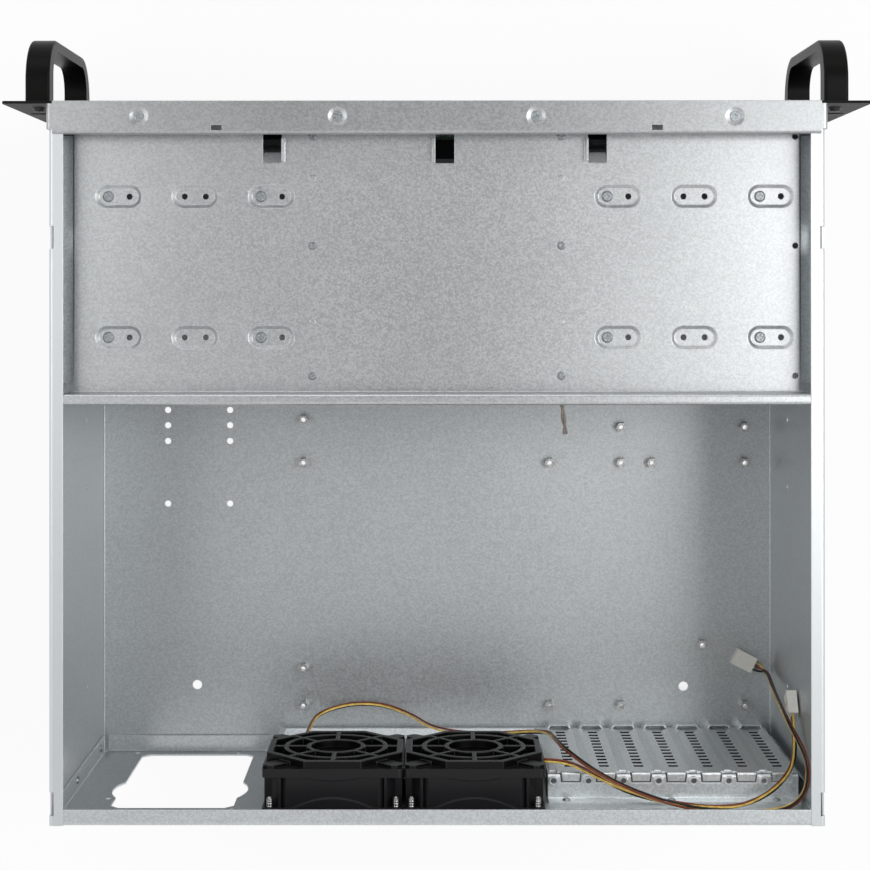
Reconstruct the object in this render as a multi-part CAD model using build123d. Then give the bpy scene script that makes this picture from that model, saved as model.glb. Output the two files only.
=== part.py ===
from build123d import *
import math
import os

# An empty 4U rackmount server case with its lid off.
# +X is the right side seen from the front, +Y runs to the rear and +Z is up.
# The origin is the middle of the base, so the case stands on Z = 0.
# Places along the case are given as a distance behind the front plane, through back().

# Driving dimensions, in millimetres

SHEET = 1.2
BEND = 1.4
FIT = 0.1
HAIR = 0.05
RACK_WIDTH = 482.6
EAR_WIDTH = 26.3
BODY_HEIGHT = 177.0
BODY_DEPTH = 400.0
PANEL_SHEET = 1.5
PAN_FLANGE = 7.9

STRIP_DEPTH = 17.0
STRIP_DROP = 9.0
STRIP_GAP = 0.2
STRIP_SCREW_INSET = 50.0
STRIP_SCREW_BACK = 7.2
STRIP_DIMPLE = (3.4, 5.3, 0.55)
STRIP_HEAD = 2.9
STRIP_SHANK = 1.5
STRIP_SCREW_LENGTH = 6.0
STRIP_SLOT_INSET = 93.0
STRIP_SLOT_BACK = 13.5
STRIP_SLOT_SIZE = (6.0, 3.0)

HANDLE_REACH = 39.0
HANDLE_INSET = 15.5
HANDLE_WIDTH = 13.8
HANDLE_MARGIN = 23.0
HANDLE_LEG = 12.0
HANDLE_GRIP = 6.5
HANDLE_OUTER_RADIUS = 25.0
HANDLE_INNER_RADIUS = 15.0
HANDLE_SCREW_MARGIN = 28.5
HANDLE_SCREW_SHANK = 1.9
HANDLE_SCREW_HEAD = (3.6, 2.2)
HANDLE_SCREW_LENGTH = 8.0

RACK_SLOT_INSET = 8.75
RACK_SLOT_RISE = 44.45
RACK_SLOT_SIZE = (12.0, 7.0)

PLATE_DROP = 19.0
PLATE_GAP = 3.1
PLATE_FRONT = 2.0
BOARD_ROOM = 243.0
BAR_GAP = 3.8
BAR_WIDTH = 6.4
BAR_LIP = 12.0
BAY_PITCH = 43.0
BAYS_A_SIDE = 3
BAY_OVERHANG = 1.0
BAY_LOW = 6.8
BAY_HEADROOM = 3.6
BAY_COVER_WALL = 1.8
BAY_COVER_LEGS = 15.0
BAY_COVER_PROUD = 2.5
GROOVES = 3
GROOVE_PITCH = 9.0
GROOVE_SIZE = (2.4, 0.6)
GROOVE_MARGIN = 12.0

RECESS_SIZE = (26.7, 13.8)
RECESS_FLOOR = (22.6, 9.9)
RECESS_DEPTH = 1.6
RECESS_SHIFT = 4.35
RECESS_FIRST = 50.7
RECESS_LAST = 26.9
DRIVE_HOLE_GAP = 11.9
DRIVE_HOLE = 1.7
CAGE_SCREW_INSET = 6.0
CAGE_SCREW_FIRST = 17.0
CAGE_SCREW_LAST = 5.3
DIMPLE_FIRST = 40.4
DIMPLE_LAST = 35.6
DIMPLE = (1.6, 0.5)
NOTCH_INSET = 15.4
NOTCH_SHIFT = 1.1
NOTCH_MIDDLE = -4.5
NOTCH_WIDTH = 10.6
NOTCH_END = 32.0
FLAP_RISE = 5.0
TONGUE_LENGTH = 6.0
TONGUE_DROP = 1.8
CAGE_FRONT = 12.0
CAGE_SIDE_HEADROOM = 15.0
CAGE_FLANGE = 11.0
CAGE_FOOT = 10.0
WINDOW_MARGIN = 13.7
WINDOW_HEIGHTS = (36.0, 45.0)

REAR_LIP = 9.0
REAR_FOOT = 11.5
END_SIDE_DEPTH = 12.0
END_SIDE_LOW = 8.0
END_SIDE_HEADROOM = 11.0
FRONT_FLANGE = 14.0
FRONT_FOOT = 10.0

SUPPLY_EDGES = (26.8, 97.3)
SUPPLY_HEIGHTS = (10.0, 35.0)
SUPPLY_CORNER = 5.0
SUPPLY_ROUND = 39.9
SUPPLY_ROUND_DROP = 76.6
SUPPLY_MARGIN = 5.6
SUPPLY_UNIT = 150.0
SUPPLY_HOLES = ((16.0, 6.0), (80.0, 6.0), (80.0, 120.0), (6.0, 144.0))

BOARD_INSET = 17.4
BOARD_COLUMNS = (0.0, 78.8, 124.5, 282.0)
BOARD_ROWS = (31.0, 186.0, 208.8)
STANDOFF_HEIGHT = 6.35
STANDOFF_RADIUS = 3.4
STANDOFF_BORE = 1.5

RECESS_BACK = 15.4
SLOT_PITCH = 20.32
SLOT_COUNT = 7
SLOT_FIRST = 118.9
SLOT_OPENING = 13.0
SLOT_LOW = 15.0
SLOT_SHELF = 125.1
SLOT_FRAME_INNER = 132.4
SLOT_FRAME_OUTER = -12.6
SLOT_HOLE = 1.7
SLOT_HOLE_RIM = (2.8, 0.7)
COVER_SHEET = 0.9
COVER_WIDTH = 15.9
COVER_VENTS = 12
COVER_VENT_SIZE = (5.8, 4.0)
COVER_VENT_PITCH = 8.0
COVER_VENT_LOW = 22.0
IO_EDGE = 293.0
IO_SIZE = (158.75, 44.45)
IO_LOW = 5.3
IO_MARGIN = 3.4
IO_SHELF_GAP = 2.0

FAN_SIZE = 80.0
FAN_DEPTH = 25.0
FAN_GAP = 0.4
FAN_INSET = 2.7
FAN_SUPPLY_GAP = 5.0
FAN_DROP = 0.375
FAN_HOLE_SPACING = 71.5
FAN_HOLE = 2.15
FAN_BORE = 38.2
FAN_BODY = 39.2
FAN_BODY_CORNER = 47.0
FAN_FRONT_FLANGE = 5.0
FAN_REAR_FLANGE = 3.0
FAN_FLARE = (45.5, 6.0)
FAN_FRONT_FLARE = (42.5, 2.0)
FAN_RIB = (30.0, 1.4)
FAN_HUB = 16.0
FAN_BLADES = 7
FAN_SHAFT = 1.5
SHAFT_CLEARANCE = 0.05
FAN_SCREW = 1.8
FAN_SCREW_HEAD = 3.4
FAN_SCREW_PROUD = 5.6
GUARD_DEPTH = 4.2
GUARD_EAR_DEPTH = 2.0
GUARD_ACROSS = 78.0
GUARD_RIM = 3.2
GUARD_RINGS = (29.0, 15.9)
GUARD_RING_WIDTH = 2.4
GUARD_SPOKE = 2.2
GUARD_PEG = (2.0, 3.5)

FRONT_BOARD_BACK = 14.0
FRONT_BOARD_SHEET = 1.6
FRONT_BOARD_SIZE = (46.0, 56.0)
FRONT_BOARD_RISE = 1.5
BOARD_POST = 2.9
BOARD_STUD = 1.5
BUTTON_TRAVEL = 1.0
BUTTON_SPOTS = (-13.0, 13.0)
BUTTON_RISE = 17.0
POWER_RADIUS = 6.0
RESET_RADIUS = 2.6
PIPE_SPOTS = (-3.0, 3.0)
PIPE_RADIUS = 1.4
PIPE_PROUD = 0.4
USB_SPOTS = (-10.0, 10.0)
USB_RISE = -6.0
USB_SIZE = (13.2, 5.8)
USB_SHEET = 0.5

LEAD_RADIUS = 1.6

# Values worked out from them

BODY_WIDTH = RACK_WIDTH - 2 * EAR_WIDTH
FRONT = -(BODY_DEPTH - PANEL_SHEET - HANDLE_REACH) / 2
PAN_TOP = BODY_HEIGHT - SHEET
FLANGE_EDGE = BODY_WIDTH / 2 - PAN_FLANGE
INNER_HALF = BODY_WIDTH / 2 - SHEET
END_HALF = INNER_HALF - FIT
STRIP_SCREW_X = BODY_WIDTH / 2 - STRIP_SCREW_INSET
STRIP_SCREW_SPOTS = [(STRIP_SCREW_X * share, STRIP_SCREW_BACK) for share in (1, 1 / 3, -1 / 3, -1)]
STRIP_SLOT_X = BODY_WIDTH / 2 - STRIP_SLOT_INSET
HANDLE_X = RACK_WIDTH / 2 - HANDLE_INSET
HANDLE_LOW = HANDLE_MARGIN
HANDLE_HIGH = BODY_HEIGHT - HANDLE_MARGIN
HANDLE_SCREW_HEIGHTS = (HANDLE_SCREW_MARGIN, BODY_HEIGHT - HANDLE_SCREW_MARGIN)
RACK_SLOT_X = RACK_WIDTH / 2 - RACK_SLOT_INSET
PLATE_TOP = BODY_HEIGHT - PLATE_DROP
PLATE_UNDER = PLATE_TOP - SHEET
PLATE_HALF = FLANGE_EDGE - PLATE_GAP
CAGE_REAR = BODY_DEPTH - BOARD_ROOM
BAR_FRONT = CAGE_REAR + BAR_GAP
BAY_OUTER = PLATE_HALF + BAY_OVERHANG
BAY_INNER = BAY_OUTER - BAYS_A_SIDE * BAY_PITCH
BAY_HIGH = PLATE_TOP - BAY_HEADROOM
BAY_MIDDLES = [BAY_INNER + (i + 0.5) * BAY_PITCH for i in range(BAYS_A_SIDE)]
RECESS_ROWS = (RECESS_FIRST, CAGE_REAR - RECESS_LAST)
CAGE_SCREW_X = BAY_INNER - CAGE_SCREW_INSET
CAGE_SCREW_ROWS = (CAGE_SCREW_FIRST, CAGE_REAR / 2, CAGE_REAR - CAGE_SCREW_LAST)
DIMPLE_ROWS = (DIMPLE_FIRST, CAGE_REAR - DIMPLE_LAST)
NOTCH_X = BAY_INNER + NOTCH_INSET
NOTCH_SPOTS = (NOTCH_SHIFT - NOTCH_X, NOTCH_MIDDLE, NOTCH_SHIFT + NOTCH_X)
CAGE_TRAY = BAY_LOW - FIT
CAGE_SIDE = PLATE_TOP - CAGE_SIDE_HEADROOM
END_SIDE_HIGH = BODY_HEIGHT - END_SIDE_HEADROOM
REAR_INNER = BODY_DEPTH - SHEET
SUPPLY_LOW = (INNER_HALF - SUPPLY_EDGES[1], SUPPLY_HEIGHTS[0])
SUPPLY_HIGH = (INNER_HALF - SUPPLY_EDGES[0], BODY_HEIGHT - SUPPLY_HEIGHTS[1])
SUPPLY_MIDDLE = (SUPPLY_LOW[0] + SUPPLY_HIGH[0]) / 2
BOARD_LEFT = BOARD_INSET - INNER_HALF
SLOT_WALL = REAR_INNER - RECESS_BACK
SLOT_FOOT = BODY_DEPTH - REAR_FOOT - FIT
SLOT_SPOTS = [BOARD_LEFT + SLOT_FIRST - i * SLOT_PITCH for i in range(SLOT_COUNT)]
SLOT_INNER_X = BOARD_LEFT + SLOT_FRAME_INNER
SLOT_OUTER_X = BOARD_LEFT + SLOT_FRAME_OUTER
IO_X = BOARD_LEFT + IO_EDGE
IO_FRAME_X = IO_X + IO_MARGIN
IO_SHELF = IO_LOW + IO_SIZE[1] + IO_SHELF_GAP
FAN_PITCH = FAN_SIZE + FAN_GAP
FAN_ROOM = SUPPLY_MIDDLE - SUPPLY_ROUND - FAN_SUPPLY_GAP - SLOT_INNER_X - FAN_INSET
FAN_COUNT = int((FAN_ROOM + FAN_GAP) / FAN_PITCH)
FAN_FIRST = SLOT_INNER_X + FAN_INSET + FAN_SIZE / 2
FAN_SPOTS = [FAN_FIRST + i * FAN_PITCH for i in reversed(range(FAN_COUNT))]
FAN_MIDDLE = (IO_SHELF + BODY_HEIGHT) / 2 - FAN_DROP
FAN_BOTTOM = FAN_MIDDLE - FAN_SIZE / 2
FAN_FRONT = REAR_INNER - FAN_DEPTH
FAN_REAR = REAR_INNER - FAN_REAR_FLANGE
FAN_SIDE = SLOT_INNER_X + FAN_INSET
GUARD_FRONT = FAN_FRONT - GUARD_DEPTH
BOARD_REAR = FRONT_BOARD_BACK + FRONT_BOARD_SHEET
FRONT_BOARD_MIDDLE = BODY_HEIGHT / 2 + FRONT_BOARD_RISE
BUTTON_HEIGHT = FRONT_BOARD_MIDDLE + BUTTON_RISE
USB_HEIGHT = FRONT_BOARD_MIDDLE + USB_RISE


def back(distance):
    """The Y of a place this far behind the front plane."""
    return FRONT + distance


# Helpers: flat shapes are drawn in a plane and pushed along its normal

def along_x(flat, low, high):
    """Pushes a flat drawn as (distance back, height) from X = low to X = high."""
    return extrude(Plane((low, FRONT, 0), x_dir=(0, 1, 0), z_dir=(1, 0, 0)) * flat, high - low)


def along_y(flat, low, high):
    """Pushes a flat drawn as (X, height) between two distances behind the front plane."""
    return extrude(Plane((0, back(high), 0), x_dir=(1, 0, 0), z_dir=(0, -1, 0)) * flat, high - low)


def along_z(flat, low, high):
    """Pushes a flat drawn as (X, distance back) from Z = low to Z = high."""
    return extrude(Plane((0, FRONT, low), x_dir=(1, 0, 0), z_dir=(0, 0, 1)) * flat, high - low)


def panel(low, high):
    """A flat rectangle between two corners."""
    middle = Pos((low[0] + high[0]) / 2, (low[1] + high[1]) / 2)
    return middle * Rectangle(high[0] - low[0], high[1] - low[1])


def block(x, y, z):
    """A box from pairs of X, distances back and heights."""
    return along_z(panel((x[0], y[0]), (x[1], y[1])), z[0], z[1])


def span(side, near, far):
    """A pair of X values on one side of the middle, the lower one first."""
    return sorted((side * near, side * far))


def discs(spots, radius):
    """One disc at each place of a flat."""
    return [Pos(*spot) * Circle(radius) for spot in spots]


def cross(spot, size):
    """The flat of a cross recess whose arms are this long."""
    return Pos(*spot) * (Rectangle(size, size * 0.3) + Rectangle(size * 0.3, size))


def cone_up(spot, low, height, radius_low, radius_high):
    """An upright cone from Z = low."""
    stand = Plane((spot[0], back(spot[1]), low))
    return stand * Cone(radius_low, radius_high, height, align=(Align.CENTER, Align.CENTER, Align.MIN))


def cone_back(spot, low, length, radius_low, radius_high):
    """A cone that lies along Y and starts this far behind the front plane."""
    stand = Plane((spot[0], back(low), spot[1]), x_dir=(1, 0, 0), z_dir=(0, 1, 0))
    return stand * Cone(radius_low, radius_high, length, align=(Align.CENTER, Align.CENTER, Align.MIN))


def fold(points, sheet=SHEET, bend=BEND):
    """The section of a folded sheet whose middle line goes through these points."""
    return trace(FilletPolyline(*points, radius=bend), sheet)


def mirror_pair(x, y):
    """A place and its mirror image across the middle."""
    return [(x, y), (-x, y)]


# Places where sheets are held to each other: (X, distance back, height)

RIVET_SHANK = 1.6
RIVET_HEAD = (2.5, 1.8, 1.0)


def side_rivet_spots():
    """Rivets through the pan's sides into the end panels' side flanges."""
    front_heights = (30.0, BODY_HEIGHT / 2, BODY_HEIGHT - 31.0)
    rear_heights = (20.0, BODY_HEIGHT - 75.0, BODY_HEIGHT - 22.0)
    front = [(FRONT_FLANGE / 2 + 1, height) for height in front_heights]
    return front + [(REAR_INNER - END_SIDE_DEPTH / 2, height) for height in rear_heights]


def floor_rivet_spots(side):
    """Rivets through the floor into one drive cage's rear foot."""
    return [(side * x, CAGE_REAR + CAGE_FOOT / 2) for x in (BAY_INNER + 24.0, BAY_OUTER - 25.0)]


def shelf_rivet_spots():
    """Rivets through the rear wall into the slot shelf's rear flange."""
    first, last = SLOT_INNER_X - 10.7, SLOT_OUTER_X + 13.1
    return [(x, SLOT_SHELF + 3.6) for x in (first, (first + last) / 2, last)]


def fan_screw_spots():
    """The corners of both fans' hole squares, as (X, height)."""
    reach = FAN_HOLE_SPACING / 2
    corners = [(side * reach, level * reach) for side in (1, -1) for level in (1, -1)]
    return [(middle + x, FAN_MIDDLE + z) for middle in FAN_SPOTS for x, z in corners]


def standoff_spots():
    """The board supports, as (X, distance back)."""
    columns = [BOARD_LEFT + x for x in BOARD_COLUMNS]
    rear, middle, front = [BODY_DEPTH - y for y in BOARD_ROWS]
    spots = [(x, y) for x in columns for y in (rear, middle)]
    spots += [(x, front) for x in columns[:2]]
    spots += [(columns[3], BODY_DEPTH - 213.6), (columns[3], BODY_DEPTH - 54.8)]
    return spots + [(columns[1] - 19.6, middle), (columns[0] + 27.2, BODY_DEPTH - 69.7)]


# Chassis pan

SIDE_HOLES = ((217.0, 2.2), (176.0, 1.7), (54.5, 1.7))
SIDE_HOLE_HEIGHT = 62.0
FLOOR_HOLE_COLUMNS = (41.2, 81.0)
FLOOR_HOLE_ROWS = (23.4, 33.2, 43.3, 83.4)
FLOOR_HOLE = 2.0
CORD_HOLES = ((60.0, 43.5), (-56.1, 42.5))
CORD_HOLE = 3.0
HOOK_FRONT = (68.0, 80.5)
HOOK_REAR = (18.5, 5.3)
HOOK_DEPTH = 2.7
HOOK_DROP = 5.0
SIDE_WINDOW = ((67.0, 123.0), (80.0, 136.0))


def chassis_pan():
    """The floor, both sides and their top flanges, folded from one sheet."""
    half = BODY_WIDTH / 2 - SHEET / 2
    top = PAN_TOP - SHEET / 2
    left = [(-FLANGE_EDGE, top), (-half, top), (-half, SHEET / 2)]
    right = [(half, SHEET / 2), (half, top), (FLANGE_EDGE, top)]
    pan = along_y(fold(left + right), 0, BODY_DEPTH)
    small = [(INNER_HALF - x, CAGE_REAR + y) for x in FLOOR_HOLE_COLUMNS for y in FLOOR_HOLE_ROWS]
    large = [(math.copysign(INNER_HALF, x) - x, BODY_DEPTH - y) for x, y in CORD_HOLES]
    floor_flats = discs(small, FLOOR_HOLE) + discs(large, CORD_HOLE)
    floor_flats += discs(standoff_spots(), STANDOFF_BORE)
    floor_flats += discs(floor_rivet_spots(1) + floor_rivet_spots(-1), RIVET_SHANK)
    pan -= [along_z(flat, -1, SHEET + 1) for flat in floor_flats]
    side_flats = [Pos(BODY_DEPTH - y, SIDE_HOLE_HEIGHT) * Circle(radius) for y, radius in SIDE_HOLES]
    side_flats += discs(side_rivet_spots(), RIVET_SHANK)
    side_flats.append(panel(*SIDE_WINDOW))
    outer = BODY_WIDTH / 2 + 1
    hooks = (HOOK_FRONT, [BODY_DEPTH - y for y in HOOK_REAR])
    for side in (1, -1):
        pan -= [along_x(flat, *span(side, INNER_HALF - 1, outer)) for flat in side_flats]
        edges = span(side, BODY_WIDTH / 2 - HOOK_DEPTH, outer)
        pan -= [block(edges, hook, (PAN_TOP - HOOK_DROP, PAN_TOP + 1)) for hook in hooks]
    return pan


# End panels: the front frame and the rear panel are both folded to fit inside the pan

def end_panel(outer, inward, lip_depth, foot_depth, side_depth):
    """A wall with a top lip, a foot on the floor and a flange against each side."""
    middle = outer + inward * SHEET / 2
    top = PAN_TOP - SHEET / 2
    bottom = SHEET * 1.5
    lip = (outer + inward * lip_depth, top)
    foot = (outer + inward * foot_depth, bottom)
    wall = along_x(fold([lip, (middle, top), (middle, bottom), foot]), -END_HALF, END_HALF)
    depths = sorted((outer - inward, outer + inward * (max(lip_depth, foot_depth) + 1)))
    clear = PAN_TOP - SHEET - FIT
    relief = BEND * 2
    edge = END_HALF - relief
    skin = END_HALF - SHEET / 2
    holes = discs(side_rivet_spots(), RIVET_SHANK)
    for side in (1, -1):
        corner = span(side, edge, END_HALF + 1)
        wall -= block(span(side, FLANGE_EDGE - FIT, END_HALF + 1), depths, (clear, PAN_TOP + 1))
        wall -= block(corner, depths, (SHEET - 1, SHEET + relief))
        wall -= block(corner, depths, (PAN_TOP - SHEET - relief, PAN_TOP + 1))
        wall -= block(corner, depths, (END_SIDE_LOW, END_SIDE_HIGH))
        path = [(side * edge, middle), (side * skin, middle), (side * skin, outer + inward * side_depth)]
        wall += along_z(fold(path), END_SIDE_LOW, END_SIDE_HIGH)
        wall -= [along_x(flat, *span(side, END_HALF - SHEET - 1, END_HALF + 1)) for flat in holes]
    return wall


def bay_openings():
    """The opening for the upright drive bays, on each side of the middle."""
    return [
        panel((BAY_INNER, BAY_LOW), (BAY_OUTER, BAY_HIGH)),
        panel((-BAY_OUTER, BAY_LOW), (-BAY_INNER, BAY_HIGH)),
    ]


def button_spots():
    """The power button and the reset button, as (X, height)."""
    return [(x, BUTTON_HEIGHT) for x in BUTTON_SPOTS]


def pipe_spots():
    """The two light pipes, as (X, height)."""
    return [(x, BUTTON_HEIGHT) for x in PIPE_SPOTS]


def usb_spots():
    """The two front sockets, as (X, height)."""
    return [(x, USB_HEIGHT) for x in USB_SPOTS]


def front_controls(clearance):
    """The holes of the buttons, light pipes and sockets in the middle of the front."""
    power, reset = button_spots()
    flats = discs([power], POWER_RADIUS + clearance) + discs([reset], RESET_RADIUS + clearance)
    flats += discs(pipe_spots(), PIPE_RADIUS + clearance)
    hole = Rectangle(USB_SIZE[0] + 2 * clearance, USB_SIZE[1] + 2 * clearance)
    return flats + [Pos(*spot) * hole for spot in usb_spots()]


GRILLE_SLOT = (3.0, 13.0)
GRILLE_PITCH = (8.0, 17.0)
GRILLE_SIDES = 60.0
GRILLE_COUNT = (int((2 * BAY_INNER - GRILLE_SIDES) / GRILLE_PITCH[0]), 2)
GRILLE_HEIGHTS = (FRONT_BOARD_MIDDLE - 52.0, FRONT_BOARD_MIDDLE + 48.0)


def grille_zones(margin):
    """The two fields of the front air vents."""
    width, height = [
        (count - 1) * pitch + slot + 2 * margin
        for count, pitch, slot in zip(GRILLE_COUNT, GRILLE_PITCH, GRILLE_SLOT)
    ]
    return [Pos(0, middle) * Rectangle(width, height) for middle in GRILLE_HEIGHTS]


def strip_slots(grow):
    """The two hook slots in the strip and in the lip below it."""
    hole = Rectangle(STRIP_SLOT_SIZE[0] + 2 * grow, STRIP_SLOT_SIZE[1] + 2 * grow)
    return [Pos(*spot) * hole for spot in mirror_pair(STRIP_SLOT_X, STRIP_SLOT_BACK)]


def front_frame():
    """The galvanized front wall behind the black panel."""
    frame = end_panel(0, 1, FRONT_FLANGE, FRONT_FOOT, FRONT_FLANGE)
    flats = bay_openings() + front_controls(0.4) + grille_zones(1.0)
    flats += discs(board_post_spots(), BOARD_STUD + FIT)
    frame -= [along_y(flat, -1, SHEET + 0.6) for flat in flats]
    cuts = discs(STRIP_SCREW_SPOTS, STRIP_SHANK + FIT) + strip_slots(1.0)
    return frame - [along_z(flat, PAN_TOP - SHEET - 1, PAN_TOP + 1) for flat in cuts]


def front_top_strip():
    """The strip over the front edge, with a rear fold and two ends over the sides."""
    half = BODY_WIDTH / 2 + STRIP_GAP + SHEET / 2
    level = BODY_HEIGHT - SHEET / 2
    low = BODY_HEIGHT - STRIP_DROP
    rear = STRIP_DEPTH - SHEET / 2
    hood = fold([(-half, low), (-half, level), (half, level), (half, low)])
    brow = fold([(-PANEL_SHEET, level), (rear, level), (rear, BODY_HEIGHT - STRIP_DROP / 2)])
    reach = half - 2 * BEND
    strip = along_x(brow, -reach, reach)
    for side in (1, -1):
        corner = span(side, FLANGE_EDGE - FIT, half + 1)
        strip -= block(corner, (rear - BEND, STRIP_DEPTH + 1), (0, PAN_TOP))
    strip += along_y(hood, 0, STRIP_DEPTH - 2 * BEND)
    narrow, wide, deep = STRIP_DIMPLE
    seat = SHEET - deep
    for spot in STRIP_SCREW_SPOTS:
        strip -= cone_up(spot, BODY_HEIGHT - deep, deep, narrow, wide)
        strip -= cone_up(spot, BODY_HEIGHT - SHEET, seat, STRIP_SHANK + FIT, STRIP_HEAD + FIT)
    return strip - [along_z(flat, PAN_TOP - 1, BODY_HEIGHT + 1) for flat in strip_slots(0)]


def strip_screws():
    """Countersunk screws through the strip's dimples into the frame's top lip."""
    solids = []
    top = BODY_HEIGHT - STRIP_DIMPLE[2]
    for spot in STRIP_SCREW_SPOTS:
        head = cone_up(spot, BODY_HEIGHT - SHEET, top - PAN_TOP, STRIP_SHANK, STRIP_HEAD)
        head -= along_z(cross(spot, STRIP_HEAD * 1.1), top - 0.4, top + 1)
        shank = along_z(Pos(*spot) * Circle(STRIP_SHANK), top - STRIP_SCREW_LENGTH, PAN_TOP)
        solids.append(head + shank)
    return solids


# Front panel, its bay covers and its handles

def front_panel():
    """The black plate with the rack ears, its openings and its front vents."""
    flat = Pos(0, PAN_TOP / 2) * RectangleRounded(RACK_WIDTH, PAN_TOP, 2.5)
    cuts = bay_openings() + front_controls(0.2)
    for level in (1, -1):
        height = (BODY_HEIGHT + level * RACK_SLOT_RISE) / 2
        cuts += [Pos(*spot) * SlotOverall(*RACK_SLOT_SIZE) for spot in mirror_pair(RACK_SLOT_X, height)]
    for height in HANDLE_SCREW_HEIGHTS:
        cuts += discs(mirror_pair(HANDLE_X, height), HANDLE_SCREW_SHANK + 2 * FIT)
    grid = GridLocations(*GRILLE_PITCH, *GRILLE_COUNT)
    for middle in GRILLE_HEIGHTS:
        cuts += [Pos(0, middle) * place * Rectangle(*GRILLE_SLOT) for place in grid]
    return along_y(flat - cuts, -PANEL_SHEET, 0)


def bay_cover(middle):
    """A moulded cover with a leg along each long side and three finger grooves."""
    skin = BAY_PITCH / 2 - FIT - BAY_COVER_WALL / 2
    face = -BAY_COVER_PROUD + BAY_COVER_WALL / 2
    left = [(middle - skin, BAY_COVER_LEGS), (middle - skin, face)]
    right = [(middle + skin, face), (middle + skin, BAY_COVER_LEGS)]
    low, high = BAY_LOW + FIT, BAY_HIGH - FIT
    cover = along_z(fold(left + right, BAY_COVER_WALL, 1.0), low, high)
    for end in ((low, low + BAY_COVER_WALL), (high - BAY_COVER_WALL, high)):
        cover += block((middle - skin, middle + skin), (face, BAY_COVER_LEGS / 2), end)
    width, depth = GROOVE_SIZE
    depths = (-BAY_COVER_PROUD - 1, depth - BAY_COVER_PROUD)
    for i in range(GROOVES):
        x = middle + (i - (GROOVES - 1) / 2) * GROOVE_PITCH
        cover -= block((x - width / 2, x + width / 2), depths, (low + GROOVE_MARGIN, high - GROOVE_MARGIN))
    return cover


def handle(side):
    """A bow handle: two legs that turn into a flatter grip."""
    reach = -PANEL_SHEET - HANDLE_REACH
    outer = panel((reach, HANDLE_LOW), (-PANEL_SHEET, HANDLE_HIGH))
    outer = fillet(outer.vertices().group_by(Axis.X)[0], HANDLE_OUTER_RADIUS)
    gap = panel((reach + HANDLE_GRIP, HANDLE_LOW + HANDLE_LEG), (-PANEL_SHEET, HANDLE_HIGH - HANDLE_LEG))
    gap = fillet(gap.vertices().group_by(Axis.X)[0], HANDLE_INNER_RADIUS)
    x = side * HANDLE_X
    bow = along_x(outer - gap, x - HANDLE_WIDTH / 2, x + HANDLE_WIDTH / 2)
    rims = bow.edges().filter_by(GeomType.LINE).filter_by(Axis.Z).group_by(Axis.Y)[0]
    bow = fillet(rims, 1.5)
    bores = discs([(x, height) for height in HANDLE_SCREW_HEIGHTS], HANDLE_SCREW_SHANK + HAIR)
    return bow - [along_y(flat, -PANEL_SHEET - HANDLE_SCREW_LENGTH - 1, 1) for flat in bores]


def handle_screws():
    """Pan-head screws from behind the ears into the handles' legs."""
    solids = []
    radius, rise = HANDLE_SCREW_HEAD
    for height in HANDLE_SCREW_HEIGHTS:
        for spot in mirror_pair(HANDLE_X, height):
            screw = along_y(Pos(*spot) * Circle(HANDLE_SCREW_SHANK), -PANEL_SHEET - HANDLE_SCREW_LENGTH, 0)
            screw += cone_back(spot, 0, rise, radius, radius * 0.7)
            solids.append(screw - along_y(cross(spot, radius), rise / 2, rise + 1))
    return solids


# Front board with its sockets, switches and light pipes

def board_post_spots():
    """The four posts that carry the front board, as (X, height)."""
    across = FRONT_BOARD_SIZE[0] / 2 - BOARD_POST
    up = FRONT_BOARD_SIZE[1] / 2 - BOARD_POST
    return [(side * across, FRONT_BOARD_MIDDLE + level * up) for side in (1, -1) for level in (1, -1)]


def front_board():
    """The green board that stands behind the front wall."""
    flat = Pos(0, FRONT_BOARD_MIDDLE) * Rectangle(*FRONT_BOARD_SIZE)
    flat -= discs(board_post_spots(), BOARD_STUD + FIT)
    return along_y(flat, FRONT_BOARD_BACK, BOARD_REAR)


def board_posts():
    """Hexagonal posts between the front frame and the board, each with its stud ends."""
    solids = []
    for spot in board_post_spots():
        post = along_y(Pos(*spot) * RegularPolygon(BOARD_POST, 6), SHEET, FRONT_BOARD_BACK)
        solids.append(post + along_y(Pos(*spot) * Circle(BOARD_STUD), 0, BOARD_REAR + 2))
    return solids


HOUSING_MARGIN = 7.0
HOUSING_DEPTH = 11.0
HOUSING_WALL = 2.0


def board_housing():
    """The black moulded cover over the sockets' rear side."""
    width, height = [size - 2 * HOUSING_MARGIN for size in FRONT_BOARD_SIZE]
    place = Pos(0, FRONT_BOARD_MIDDLE)
    shell = along_y(place * Rectangle(width, height), BOARD_REAR, BOARD_REAR + HOUSING_DEPTH)
    shell = fillet(shell.edges().filter_by(Axis.Z).group_by(Axis.Y)[-1], HOUSING_WALL)
    hollow = place * Rectangle(width - 2 * HOUSING_WALL, height - 2 * HOUSING_WALL)
    return shell - along_y(hollow, BOARD_REAR - 1, BOARD_REAR + HOUSING_DEPTH - HOUSING_WALL)


def usb_shells():
    """The two steel shells of the front sockets."""
    width, height = USB_SIZE
    tube = Rectangle(width, height) - Rectangle(width - 2 * USB_SHEET, height - 2 * USB_SHEET)
    return [along_y(Pos(*spot) * tube, -PANEL_SHEET, FRONT_BOARD_BACK) for spot in usb_spots()]


def usb_tongues():
    """The insulating tongues inside the sockets."""
    solids = []
    width, height = [size / 2 - USB_SHEET - FIT for size in USB_SIZE]
    root = FRONT_BOARD_BACK - 3
    for x, z in usb_spots():
        base = block((x - width, x + width), (root, FRONT_BOARD_BACK), (z - height, z + height))
        solids.append(base + block((x + 0.6 - width, x - 0.6 + width), (1.0, root), (z + 0.4, z + 2.0)))
    return solids


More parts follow.
